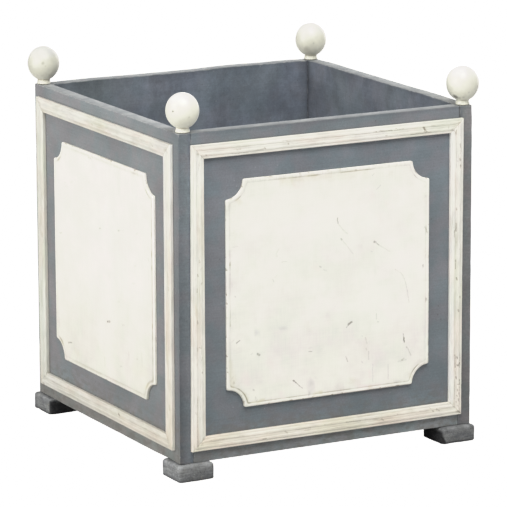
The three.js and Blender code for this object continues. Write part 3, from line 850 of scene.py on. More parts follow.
def make_board(face, degrees, seed):
    """A board in the front face's place, then turned to its own. Front and back
    boards fit between the side boards, which run the full depth."""
    between = face in ("front", "back")
    half = HALF - BOARD_T - GAP if between else HALF
    lo = (-half, -HALF, Z_WALL)
    hi = (half, -HALF + BOARD_T, Z_RIM)
    holes = [] if between else [
        (s * FINIAL_AT, -FINIAL_AT, 5.0, 4.3, 30.0) for s in (-1, 1)
    ]
    verts, faces, out = rounded_box(lo, hi, 0.8, (11.0, 7.0, 11.0), extra=(1.6, 4.6), seg=3, holes=holes)
    # paint nearly fills the joints between the boards, less so near the rim
    sx = np.sign(verts[:, 0])
    seam_y = -HALF if between else -HALF + BOARD_T
    way = -1.0 if between else 1.0
    round_x = np.abs(verts[:, 0]) - (half - 0.8)
    round_y = (verts[:, 1] - seam_y) * way + 0.8
    joint = (round_x > 0) & (round_y > 0) & (verts[:, 2] < Z_RIM - 3)
    fill = np.interp(Z_RIM - verts[:, 2], (3, 30, 70), (0.0, 0.25, 0.85)) * joint
    verts[:, 0] += fill * sx * (0.8 - np.clip(round_x, 0, 0.8))
    verts[:, 1] += fill * way * (0.8 - np.clip(round_y, 0, 0.8))
    x, y, z = verts.T
    # gently uneven faces and softened, slightly knocked arrises
    ed = np.minimum(
        np.maximum(half - abs(x), 0),
        np.minimum(np.maximum(Z_RIM - z, 0), np.maximum(z - Z_WALL, 0)),
    )
    t_in = np.minimum(y + HALF, -HALF + BOARD_T - y)
    flat = np.abs(out).max(axis=1) > 0.995
    two = np.sort(np.stack([half - abs(x), np.minimum(Z_RIM - z, z - Z_WALL), t_in], 1), axis=1)[:, 1]
    wave = 0.10 * noise(verts, 95.0, seed) + 0.04 * noise(verts, 30.0, seed + 1)
    knock = np.clip(noise(verts * (1, 1, 1), 16.0, seed + 2) - 0.35, 0, 1) * np.exp(-two / 1.2)
    small = 0.10 * noise(verts, 5.0, seed + 3) * np.exp(-two / 1.0)
    move = wave - 0.06 - 0.65 * knock + small - 0.06
    tint_and_painted_shade = board_shade(face, turn_z(verts, degrees), turn_z(out, degrees))
    worn = np.ones(len(verts))
    if face == "left":
        # this upright corner is soiled rather than rubbed
        worn = np.where((x > HALF - 2.5) & (y < -HALF + 2.5) & (z < Z_RIM - 4), 0.12, 1.0)
    if face == "front":
        worn = np.where((y < -HALF + 2.5) & (z > Z_RIM - 4), 0.35, worn)
    verts = verts + out * move[:, None]
    if face == "right":
        # the front upright arris stands a little proud
        verts[:, 1] -= 1.05 * np.exp(-((x + half) / 9.0) ** 2) * (y < -HALF + 3) * np.clip((Z_RIM + 6 - z) / 30, 0, 1)
        bow = 0.60 + 0.5 * np.exp(-((x - 165.0) / 35.0) ** 2) + 0.6 * np.exp(-((x + 125.0) / 35.0) ** 2)
        verts[:, 2] += bow * np.clip((210 - abs(x)) / 22.0, 0, 1) * (z > Z_RIM - 6)
    if face == "left":
        # and this one leans out towards its foot
        verts[:, 1] -= np.interp(z, (Z_WALL, 150, 330, 420), (1.2, 1.2, 0.6, 0.0)) * np.exp(
            -((x - half) / 12.0) ** 2) * (y < -HALF + 3)
    if face == "back":
        bow = (1.6 * np.exp(-((x + 92.0) / 50.0) ** 2) + 0.8 * np.exp(-((x + 185.0) / 35.0) ** 2)
               + 0.8 * np.exp(-((x - 150.0) / 55.0) ** 2))
        verts[:, 2] += bow * np.clip((216 - abs(x)) / 22.0, 0, 1) * (z > Z_RIM - 6)
    if face == "left":
        verts[:, 2] -= 0.55 * np.clip((180.0 - np.abs(x)) / 25.0, 0, 1) * (z < Z_WALL + 6) * (y < -HALF + 6)
    n_top = np.clip(out[:, 2], 0, 1)
    endg = np.clip(abs(out[:, 0]), 0, 1) if not between else np.zeros(len(verts))
    attrs = {
        "pc": np.stack([x, z, y], 1) * MM + np.array([seed * 0.37, seed * 0.11, 0]),
        "fc": np.stack([x * MM, (z - Z_MID) * MM, np.clip((-HALF + BOARD_T / 2 - y) / (BOARD_T / 2), -1, 1)], 1),
        "ed": np.maximum(two, 0),
        "rim": np.where(n_top > 0.3, n_top, 0),
        "endg": endg,
        "damp": np.full(len(verts), 0.55 if face == "front" else 0.60),
        "worn": worn,
        "tint_and_painted_shade": tint_and_painted_shade,
    }
    return make_piece(f"{face}_wall_board", f"board_{face}",
                      turn_z(verts, degrees), faces, attrs, WALL)


for k, (face, degrees) in enumerate(FACES):
    make_board(face, degrees, 11 + 10 * k)


# ---- mouldings ---------------------------------------------------------------
def moulding_half():
    """Outer half of the section as (across, height): eased arris, fillet, quirk,
    round bead, and down into the middle flute."""
    pts = [(0.0, 0.0), (0.0, 2.2)]
    for a in (180, 157, 135, 112, 90):
        pts.append((0.7 + 0.7 * math.cos(math.radians(a)), 4.5 + 0.7 * math.sin(math.radians(a))))
    pts += [(1.4, 5.24), (2.1, 5.25), (2.7, 5.24), (3.0, 5.22), (3.3, 5.34), (3.7, 5.52), (4.3, 5.72), (4.9, 5.86),
            (5.6, 5.96), (6.2, 5.99), (6.8, 5.97), (7.4, 5.89), (7.75, 5.76), (8.0, 5.66), (8.5, 5.65), (9.0, 5.66),
            (9.5, 5.67)]
    return pts


HALF_SECTION = moulding_half()
SECTION = HALF_SECTION + [(10.0, 5.67)] + [(MOULD_W - u, h) for u, h in reversed(HALF_SECTION)]
SECTION = [(10.0 + (u - 10.0) * 1.018, h) for u, h in SECTION]


def make_moulding(face, degrees, side, angle, seed, material, nicks, tone, wider, ends_out):
    outer = BODY - 2 * MOULD_INSET
    reach = outer / 2
    count = 56
    c, s = round(math.cos(math.radians(angle)), 9), round(math.sin(math.radians(angle)), 9)
    # finer steps along the strip where it is nicked
    full = reach - MOULD_W / 2
    xs = [-full + 2 * full * i / count for i in range(count + 1)]
    for a, b, width, _ in nicks:
        ends = []
        for u, v in (a, b):
            x, y = u - HALF, HALF - v
            ends.append((x * c + y * s, -x * s + y * c - reach))
        if all(-MOULD_W - 1 < e[1] < 1 for e in ends):
            lo_x, hi_x = min(e[0] for e in ends) - width - 0.5, max(e[0] for e in ends) + width + 0.5
            steps = max(2, int(round((hi_x - lo_x) / (0.7 if hi_x - lo_x < 16 else 1.6))))
            xs += [lo_x + (hi_x - lo_x) * i / steps for i in range(steps + 1)]
    xs = sorted(x for x in xs if abs(x) < full - 0.8)
    kept = [xs[0]]
    for x in xs[1:]:
        if x - kept[-1] > 0.5:
            kept.append(x)
    ts = [-1.0] + [x / full for x in kept] + [1.0]
    sec = np.array(SECTION)
    n = len(sec)
    rings, us, ends = [], [], []
    end_in = 0.22
    stations = [(-1.0, 0.10), (-1.0, 0.0)] + [(t, 0.0) for t in ts[1:-1]] + [(1.0, 0.0), (1.0, 0.10)]
    for k, (t, sink) in enumerate(stations):
        u, h = sec[:, 0].copy(), sec[:, 1].copy()
        full = outer / 2 - u - GAP / 2
        x = t * full
        if k == 1:
            x = x + end_in
        if k == len(stations) - 2:
            x = x - end_in
        hh = np.where(h > 2.0, h - sink, h)
        uu = u + np.where(h > 2.0, sink * np.sign(MOULD_W / 2 - u) * (np.abs(u - MOULD_W / 2) > 9.0), 0.0)
        rings.append(np.stack([x, -uu, hh], 1))
        us.append(u)
        ends.append(np.abs(np.abs(full) - np.abs(x)))
    local = np.concatenate(rings)
    us = np.concatenate(us)
    ends = np.concatenate(ends)
    p = local.copy()
    # a run moulding is never quite even: it swells, leans and is knocked
    where = np.stack([p[:, 0], p[:, 1] * 0 + seed * 40.0, p[:, 2] * 0], 1)
    up = np.clip((p[:, 2] - 1.0) / 4.0, 0, 1)
    calm = np.clip(ends / 14.0, 0, 1)
    p[:, 1] += (0.22 * noise(where, 130.0, seed) + 0.05 * noise(where, 22.0, seed + 1)) * calm
    spread = np.stack([p[:, 0], p[:, 1], p[:, 2]], 1)
    p[:, 2] += up * (0.10 * noise(spread, 45.0, seed + 2) + 0.05 * noise(spread, 6.0, seed + 3) - 0.08) * calm
    dent = np.clip(noise(spread * (1.0, 1.6, 1.0), 9.0, seed + 4) - 0.52, 0, 1)
    crest = np.clip((p[:, 2] - 5.7) / 0.25, 0, 1) + np.clip(1 - np.minimum(us, MOULD_W - us) / 0.9, 0, 1) * up
    p[:, 2] -= 1.1 * dent * crest * calm
    # laid by hand: some strips stand out beyond the frame's line at one end
    along = np.clip(p[:, 0] / (outer - 2 * MOULD_W) + 0.5, 0, 1)
    edge = np.clip(1 - us / 14.0, 0, 1)
    p[:, 1] += (wider[0] + (wider[1] - wider[0]) * along) * edge
    # and their neighbours run on to meet them at the mitre
    tip = np.clip(1 - ends / 30.0, 0, 1) * edge
    p[:, 0] += np.where(local[:, 0] > 0, ends_out[1], -ends_out[0]) * tip
    faces = []
    rows = len(stations)
    for k in range(rows - 1):
        for i in range(n - 1):
            a, b = k * n + i, k * n + i + 1
            faces.append([a, a + n, b + n, b])
        faces.append([k * n + n - 1, (k + 1) * n + n - 1, (k + 1) * n, k * n])
    faces.append(list(range(n)))
    faces.append([rows * n - 1 - i for i in range(n)])
    p[:, 1] += reach
    on_face = np.stack([p[:, 0] * c - p[:, 1] * s, p[:, 0] * s + p[:, 1] * c, p[:, 2]], 1)
    run = np.clip((on_face[:, 0] if side in ("top", "bottom") else -on_face[:, 1]) / (outer - MOULD_W) + 0.5, 0, 1)
    warmth = (tone[2] + (tone[3] - tone[2]) * run)[:, None] * np.array([0.015, -0.010, -0.045])
    tones = (tone[0] + (tone[1] - tone[0]) * run)[:, None] * (1 + warmth)
    if side == "right":
        # painted light: the inner slope, which faces the face's left, is made paler and whiter
        tones = tones * (1 + np.interp(us, (13.5, 15.5), (0, 1))[:, None] * np.array([0.02, 0.035, 0.085]))
    # painted light on the outer side of the left face's right-hand strip
    if face == "left" and side == "right":
        tones = tones * (1 + np.clip(1 - us / 1.3, 0, 1)[:, None] * np.array([0.14, 0.17, 0.22]))
    if face == "left" and side == "left":
        tones = tones * np.array([0.985, 1.010, 1.0])
    attrs = {
        "pc": np.stack([us, local[:, 0], local[:, 2]], 1) * MM + np.array([0.0, seed * 0.613, seed * 0.05]),
        "pu": us,
        "em": ends,
        "tone": tones,
        "cut": mark_cover(np.stack([on_face[:, 0] + HALF, HALF - on_face[:, 1]], 1), nicks, 0.35, 2.2, seed),
    }
    return make_piece(f"{face}_moulding_{side}", f"moulding_{face}_{side}",
                      face_to_frame(on_face, degrees), faces, attrs, material, sharp=50.0)


# nicks, stains and dirty lines on the frames, as for the panels
NICKS = {
    "front": [
        ((27.2, 29.4), (28.0, 30.6), 1.5, 0.30), ((36.6, 32.4), (37.8, 33.0), 1.6, 0.62), ((40.8, 32.0), (41.6, 33.0), 1.3, 0.45),
        ((84.0, 34.6), (108.0, 34.3), 1.0, 0.42), ((90.0, 29.8), (96.0, 29.0), 1.6, 0.24), ((122.0, 33.0), (134.8, 31.6), 1.5, 0.30),
        ((134.2, 30.2), (135.4, 31.6), 1.5, 0.40), ((172.4, 27.6), (173.4, 28.8), 1.7, 0.46), ((208.0, 32.4), (231.0, 31.6), 1.6, 0.18),
        ((163.0, 23.2), (198.0, 23.0), 0.9, 0.20), ((315.8, 23.8), (317.2, 24.1), 1.2, 0.48), ((329.0, 24.0), (343.6, 24.6), 0.9, 0.66),
        ((346.0, 24.6), (361.0, 24.0), 0.9, 0.36), ((395.4, 24.8), (397.6, 28.8), 2.1, 0.78), ((397.6, 28.8), (401.4, 31.8), 1.5, 0.52), ((396.0, 31.4), (402.0, 33.0), 1.0, 0.44),
        ((374.0, 33.4), (408.0, 33.0), 0.9, 0.50), ((408.0, 24.2), (415.0, 24.0), 0.9, 0.30), ((437.0, 30.0), (438.2, 26.6), 1.1, 0.26),
        ((441.0, 33.2), (450.0, 33.4), 0.9, 0.46), ((450.4, 33.8), (450.6, 40.0), 0.8, 0.40),
        ((43.0, 448.2), (100.0, 449.0), 0.9, 0.26), ((129.6, 457.4), (135.0, 457.0), 1.4, 0.50), ((166.4, 451.0), (170.0, 453.2), 1.9, 0.40),
        ((183.0, 450.0), (208.0, 450.6), 1.8, 0.24), ((198.0, 453.4), (207.0, 453.0), 1.5, 0.26), ((267.0, 449.6), (291.0, 450.8), 1.2, 0.34),
        ((300.0, 450.0), (320.0, 452.4), 1.0, 0.30), ((327.0, 452.6), (329.2, 454.4), 2.0, 0.42), ((408.2, 446.4), (410.0, 448.0), 1.2, 0.30),
        ((413.0, 451.4), (415.0, 452.2), 1.6, 0.52), ((420.0, 449.0), (421.0, 451.6), 1.3, 0.40), ((423.4, 451.6), (424.6, 452.4), 1.3, 0.44),
        ((456.6, 457.2), (460.0, 459.6), 1.8, 0.72), ((60.0, 459.4), (240.0, 459.2), 0.8, 0.30), ((240.0, 459.2), (430.0, 459.6), 0.8, 0.26),
        ((29.4, 45.2), (30.6, 46.6), 1.5, 0.30), ((26.6, 74.6), (27.0, 77.0), 1.4, 0.20), ((29.0, 183.2), (29.4, 185.8), 1.7, 0.34),
        ((26.2, 203.0), (26.6, 206.0), 1.6, 0.44), ((25.2, 224.0), (25.4, 229.0), 1.2, 0.34), ((25.2, 270.6), (25.8, 274.6), 1.7, 0.40),
        ((24.6, 309.6), (24.8, 314.0), 1.5, 0.32), ((27.6, 309.2), (30.6, 311.0), 1.4, 0.32), ((30.6, 311.0), (31.4, 315.6), 1.0, 0.24),
        ((24.2, 384.0), (24.0, 456.0), 1.0, 0.42), ((24.0, 454.0), (24.2, 458.0), 1.8, 0.46), ((33.2, 443.4), (33.8, 445.6), 1.6, 0.40),
        ((456.8, 77.0), (457.4, 79.4), 1.9, 0.60), ((457.6, 86.6), (458.4, 89.4), 1.9, 0.60), ((453.0, 79.6), (453.6, 81.2), 1.2, 0.28),
        ((451.3, 58.0), (451.3, 90.0), 0.8, 0.26), ((451.6, 150.0), (452.2, 152.6), 1.6, 0.46), ((451.2, 172.6), (451.2, 184.4), 1.2, 0.66),
        ((451.2, 190.0), (451.0, 202.0), 0.9, 0.30), ((451.0, 227.6), (450.8, 240.6), 1.2, 0.60), ((452.4, 254.6), (453.6, 257.8), 1.6, 0.66),
        ((458.6, 283.2), (459.2, 285.6), 1.6, 0.44), ((455.6, 303.0), (456.4, 305.8), 1.8, 0.48), ((450.8, 371.0), (451.2, 390.0), 1.1, 0.62),
        ((454.0, 374.4), (454.8, 376.6), 1.7, 0.66), ((454.6, 386.8), (456.6, 388.2), 1.6, 0.74), ((456.6, 388.2), (458.8, 383.8), 1.6, 0.80),
        ((459.4, 371.0), (459.3, 391.0), 0.9, 0.62), ((452.4, 404.6), (453.4, 407.4), 1.5, 0.62), ((459.2, 409.6), (459.4, 417.6), 1.1, 0.66),
        ((455.4, 416.2), (459.4, 416.8), 1.0, 0.58), ((451.6, 394.0), (451.8, 402.0), 0.9, 0.40), ((455.4, 424.0), (455.8, 426.0), 1.4, 0.52),
        ((457.6, 429.0), (458.2, 431.4), 1.4, 0.50), ((454.6, 433.0), (455.6, 434.6), 1.4, 0.48), ((456.8, 438.0), (457.4, 441.6), 1.4, 0.50),
        ((453.0, 442.0), (453.8, 444.0), 1.2, 0.34), ((459.4, 420.0), (459.3, 458.0), 0.8, 0.46), ((450.9, 408.0), (451.0, 438.0), 0.8, 0.34),
        ((455.6, 448.4), (457.0, 450.0), 1.2, 0.40),
    ],
    "left": [
        ((290.0, 448.0), (292.6, 449.6), 2.4, 0.80), ((26.0, 461.0), (28.0, 461.6), 2.4, 0.55), ((36.0, 461.4), (38.6, 461.8), 2.2, 0.45), ((150.0, 33.6), (190.0, 33.2), 1.0, 0.22), ((300.0, 34.0), (352.0, 33.6), 1.0, 0.26),
        ((60.0, 450.0), (110.0, 450.4), 1.3, 0.24), ((120.0, 456.0), (150.0, 457.0), 1.6, 0.24), ((330.0, 450.6), (380.0, 450.0), 1.2, 0.22),
        ((452.0, 120.0), (452.0, 180.0), 0.9, 0.20), ((449.6, 290.0), (449.8, 330.0), 1.0, 0.24), ((408.0, 26.0), (411.0, 28.0), 1.8, 0.26),
        ((210.0, 28.0), (214.0, 29.0), 2.0, 0.20), ((456.4, 396.0), (457.0, 404.0), 1.6, 0.30), ((26.0, 300.0), (26.4, 340.0), 1.3, 0.24),
    ],
    "right": [
        ((64.0, 34.2), (96.0, 34.0), 1.0, 0.40), ((214.0, 27.4), (216.0, 29.0), 1.8, 0.52), ((330.0, 24.0), (352.0, 24.4), 0.9, 0.50),
        ((128.0, 457.0), (134.0, 457.4), 1.5, 0.46), ((246.0, 450.0), (286.0, 450.8), 1.1, 0.32), ((388.0, 452.0), (391.0, 453.6), 1.9, 0.50),
        ((25.0, 160.0), (25.2, 190.0), 1.0, 0.40), ((29.0, 302.0), (30.4, 304.6), 1.8, 0.46), ((24.2, 392.0), (24.0, 448.0), 1.0, 0.36),
        ((450.4, 96.0), (450.4, 122.0), 1.0, 0.42), ((455.8, 244.0), (456.6, 246.4), 1.9, 0.56), ((451.0, 352.0), (452.0, 362.0), 1.4, 0.44),
        ((456.6, 456.6), (459.0, 459.0), 1.8, 0.60),
    ],
    "back": [
        ((96.0, 24.2), (126.0, 24.0), 1.0, 0.42), ((262.0, 30.4), (264.4, 32.0), 1.9, 0.50), ((352.0, 34.0), (392.0, 33.6), 1.0, 0.34),
        ((84.0, 451.0), (120.0, 450.0), 1.1, 0.34), ((196.0, 456.4), (200.0, 457.8), 1.8, 0.46), ((330.0, 449.6), (372.0, 450.4), 1.1, 0.30),
        ((25.4, 120.0), (25.2, 166.0), 1.0, 0.36), ((30.0, 262.0), (31.2, 264.6), 1.8, 0.50), ((24.6, 350.0), (24.2, 430.0), 1.0, 0.32),
        ((450.6, 70.0), (450.6, 88.0), 1.0, 0.50), ((455.0, 180.0), (456.2, 182.6), 1.9, 0.50), ((450.2, 300.0), (450.0, 344.0), 1.0, 0.34),
        ((22.0, 456.0), (24.4, 458.6), 1.8, 0.54),
    ],
}
MOULD_MATS = {
    f: moulding_material(f"moulding_paint_{f}", 0.31 * (i + 1)) for i, (f, _) in enumerate(FACES)
}
# how grubby each strip has grown: its shade at its left or top end and at its
# other end, then how yellow it is at the two
STRIP_TONES = {
    "front": {"top": (0.97, 1.03, 0.0, -0.3), "left": (1.03, 1.00, -0.5, 0.3), "bottom": (0.98, 1.02, 1.3, 0.5),
              "right": (1.08, 1.09, -0.3, 0.1)},
    "right": {"top": (0.95, 0.93, 0.3, 0.0), "left": (0.95, 0.91, 0.0, 0.9), "bottom": (0.90, 0.86, 0.6, 1.2),
              "right": (0.95, 0.92, 0.0, 0.6)},
    "back": {"top": (0.96, 0.94, 0.0, 0.3), "left": (0.95, 0.92, 0.2, 0.8), "bottom": (0.91, 0.87, 1.1, 0.4),
             "right": (0.93, 0.90, 0.0, 0.9)},
    "left": {"top": (0.835, 0.83, 0.0, 0.0), "left": (0.87, 0.83, 0.0, -0.3), "bottom": (0.815, 0.745, 0.0, 1.4),
             "right": (0.905, 0.80, -0.3, 1.7)},
}
# how far the outer edge stands out beyond the frame's line, at the same ends
STRIP_WIDER = {("front", "right"): (0.9, 0.1), ("front", "left"): (-1.2, 1.5), ("left", "left"): (3.0, 2.8), ("right", "bottom"): (0.0, 0.5),
               ("back", "left"): (0.6, 0.0)}
SIDES = (("top", 0), ("left", 90), ("bottom", 180), ("right", 270))
for k, (face, degrees) in enumerate(FACES):
    wide = []
    for side, _ in SIDES:
        w = STRIP_WIDER.get((face, side), (0.0, 0.0))
        wide.append(w[::-1] if side in ("left", "bottom") else w)
    for j, (side, angle) in enumerate(SIDES):
        # going round: top, right, bottom, left
        ends_out = (wide[(j + 1) % 4][1], wide[(j + 3) % 4][0])
        make_moulding(face, degrees, side, angle, 101 + 17 * k + 5 * j, MOULD_MATS[face], NICKS[face],
                      STRIP_TONES[face][side], wide[j], ends_out)


# ---- raised panels -----------------------------------------------------------
def scooped_outline(inset, cell=2.2, arc=20):
    """Square with a concave quarter round at each corner, drawn in by inset."""
    h = PANEL / 2 - inset
    c = PANEL / 2
    r = SCOOP + inset
    lead = math.asin(max(0.0, min(1.0, inset / r)))
    pts = []
    straight = int(round((PANEL - 2 * SCOOP) / cell))
    for q in range(4):
        cx = c if q in (0, 3) else -c
        cy = c if q < 2 else -c
        a0 = math.pi * (1.5 + 0.5 * q) - lead
        a1 = math.pi * (1.0 + 0.5 * q) + lead
        for i in range(arc + 1):
            a = a0 + (a1 - a0) * i / arc
            pts.append((
                max(-h, min(h, cx + r * math.cos(a))),
                max(-h, min(h, cy + r * math.sin(a))),
            ))
        ax, ay = pts[-1]
        q2 = (q + 1) % 4
        bx = c if q2 in (0, 3) else -c
        by = c if q2 < 2 else -c
        b0 = math.pi * (1.5 + 0.5 * q2) - lead
        tx, ty = bx + r * math.cos(b0), by + r * math.sin(b0)
        tx, ty = max(-h, min(h, tx)), max(-h, min(h, ty))
        for i in range(1, straight):
            f = i / straight
            pts.append((ax + (tx - ax) * f, ay + (ty - ay) * f))
    return np.array(pts)


def inset_of(p):
    """Distance in from the outline at points on the panel."""
    c = PANEL / 2
    d = np.minimum(c - abs(p[:, 0]), c - abs(p[:, 1]))
    r = np.hypot(c - abs(p[:, 0]), c - abs(p[:, 1])) - SCOOP
    return np.maximum(np.minimum(d, r), 0.0)


# lip, quirk and field: (inset, height)
LIP = [(0.0, 0.0), (0.0, 1.3), (0.0, 2.7), (0.14, 3.25), (0.45, 3.7), (0.95, 4.02), (1.6, 4.17), (2.4, 4.2),
       (3.3, 4.17), (4.2, 4.08), (4.9, 3.94), (5.4, 3.85), (5.9, 3.85), (6.5, 3.90), (7.6, 3.94), (11.0, 3.95)]


def panel_shade(face, place):
    """How each panel is toned: yellower towards its foot, and in its brightness painted shade and light: darker towards
    the foot, on the left panel also towards its right-hand edge, with painted light on that edge's side wall; the front
    panel lighter in the middle and to the right.
    """
    u, v = place.T
    if face == "left":
        k = np.interp(v, (70, 170, 260, 340, 410), (1.0, 0.99, 0.96, 0.885, 0.82))
        k = k * np.interp(u, (75, 300, 370, 400, 405, 406.5), (1.0, 1.0, 0.97, 0.93, 0.98, 1.16))
        yellow = np.interp(v, (200, 410), (0.0, 0.05))
    else:
        k = np.interp(v, (70, 110, 240, 330, 410), (1.005, 1.01, 1.035, 1.01, 0.99))
        k = k * np.interp(u, (75, 200, 330, 405), (0.985, 1.0, 1.03, 1.04))
        yellow = np.interp(v, (250, 410), (0.0, 0.02))
    return k[:, None] * (1 - yellow[:, None] * np.array([0.0, 0.25, 1.0]))


def make_panel(face, degrees, seed, material, marks, smudges, dirty):
    rings = [scooped_outline(i) for i, _ in LIP]
    n = len(rings[0])
    pts, heights, ins = [], [], []
    for (i, h), ring in zip(LIP, rings):
        # blunt the cusps a little
        ring = ring.copy()
        for _ in range(2):
            prev, nxt = np.roll(ring, 1, 0), np.roll(ring, -1, 0)
            bend = np.linalg.norm((prev + nxt) / 2 - ring, axis=1)
            w = np.clip(bend / 0.9, 0, 1)[:, None] * 0.35
            ring = ring * (1 - w) + (prev + nxt) / 2 * w
        pts.append(ring)
        heights.append(np.full(n, h))
        ins.append(np.full(n, i))
    faces = []
    for k in range(len(LIP) - 1):
        for i in range(n):
            j = (i + 1) % n
            a, b = k * n + i, k * n + j
            faces.append([a, a + n, b + n, b])
    flat = np.concatenate(pts)
    z = np.concatenate(heights)
    ins = np.concatenate(ins)
    # the field, meshed inside the last ring
    last = pts[-1]
    base = (len(LIP) - 1) * n
    step = 4.4
    m = int(PANEL / step)
    grid = [(-PANEL / 2 + PANEL * (i + 0.5) / m, -PANEL / 2 + PANEL * (j + 0.5) / m)
            for i in range(m) for j in range(m)]
    grid = np.array(grid)
    grid = grid[inset_of(grid) > LIP[-1][0] + 2.5]
    fine = mark_points(marks)
    fine = fine * (1, -1) + (-HALF, HALF)
    fine = fine[inset_of(fine) > LIP[-1][0] + 0.6]
    if len(fine):
        taken = {tuple(c) for c in np.round(fine / 1.6).astype(int)}
        grid = np.array([g for g, c in zip(grid, np.round(grid / 1.6).astype(int)) if tuple(c) not in taken])
        grid = np.concatenate([grid, fine])
    loop = [Vector(p) for p in last] + [Vector(p) for p in grid]
    edges = [(i, (i + 1) % n) for i in range(n)]
    co, _, tris, orig, _, _ = delaunay_2d_cdt(loop, edges, [], 1, 1e-4)
    if len(co) != len(loop):
        raise RuntimeError("the panel's field didn't mesh cleanly")
    where = [o[0] for o in orig]
    back = {}
    first = len(flat)
    for new, old in enumerate(where):
        back[new] = base + old if old < n else first + (old - n)
    flat = np.concatenate([flat, grid])
    z = np.concatenate([z, np.full(len(grid), LIP[-1][1])])
    ins = np.concatenate([ins, inset_of(grid)])
    for t in tris:
        f = [back[v] for v in t]
        a, b, c = (flat[v] for v in f)
        if (b[0] - a[0]) * (c[1] - a[1]) - (b[1] - a[1]) * (c[0] - a[0]) < 0:
            f.reverse()
        faces.append(f)
    # walls of the loop run clockwise seen from outside, so set both to face out
    area = 0.5 * np.sum(last[:, 0] * np.roll(last[:, 1], -1) - np.roll(last[:, 0], -1) * last[:, 1])
    if area > 0:
        for k in range((len(LIP) - 1) * n):
            faces[k] = faces[k][::-1]
    faces.append([i for i in range(n)] if area < 0 else [n - 1 - i for i in range(n)])
    p = np.stack([flat[:, 0], flat[:, 1], z], 1)
    up = np.clip(p[:, 2] / 3.5, 0, 1)
    seeded = p + np.array([0, 0, seed * 30.0])
    p[:, 2] += up * (0.10 * noise(seeded, 80.0, seed) + 0.05 * noise(seeded, 24.0, seed + 1) - 0.10)
    knock = np.clip(noise(seeded, 7.0, seed + 2) - 0.45, 0, 1) * np.exp(-ins / 1.5) * up
    p[:, 2] -= 1.2 * knock
    edge = np.exp(-ins / 1.5) * 0.16 * noise(seeded, 34.0, seed + 3)
    r = np.linalg.norm(p[:, :2], axis=1)[:, None] + 1e-6
    p[:, :2] += p[:, :2] / r * edge[:, None] - p[:, :2] / r * 0.1
    place = np.stack([flat[:, 0] + HALF, HALF - flat[:, 1]], 1)
    gr = np.full(len(p), 0.10)
    for u, v, reach, strength in dirty:
        d2 = (place[:, 0] - u) ** 2 + (place[:, 1] - v) ** 2
        gr = np.maximum(gr, strength * np.exp(-np.clip(d2 / reach ** 2, 0, 40) ** 1.5 * 0.7))
    rub = np.ones(len(p))
    if face == "front":
        # the lower arris is bare along most of its length
        rub = rub + 1.3 * np.clip((place[:, 1] - 402.0) / 3.0, 0, 1) * np.interp(place[:, 0], (120, 170, 340, 390), (0, 1, 1, 0.3))
        rub = rub * (1 - 0.6 * np.clip((80.0 - place[:, 1]) / 4.0, 0, 1) * np.interp(place[:, 0], (240, 290), (0, 1)))
    if face == "left":
        # this upright edge has kept its paint
        rub = np.interp(place[:, 0], (380, 402), (1.0, 0.10))
    attrs = {
        "pc": np.stack([p[:, 0], p[:, 1], p[:, 2]], 1) * MM + np.array([0.0, seed * 0.71, seed * 0.13]),
        "fc": np.stack([p[:, 0] + HALF, HALF - p[:, 1], p[:, 2]], 1) * MM,
        "rub": rub,
        "ins": ins,
        "gr": gr,
        "shade": panel_shade(face, place),
        "sm": np.stack([mark_cover(place, g, 2.6, 11.0, seed + 9 + i) for i, g in enumerate(smudges)], 1),
        "cut": mark_cover(place, marks, 0.4, 2.4, seed + 5),
    }
    return make_piece(f"{face}_panel", f"panel_{face}",
                      face_to_frame(p, degrees), faces, attrs, material, sharp=45.0)


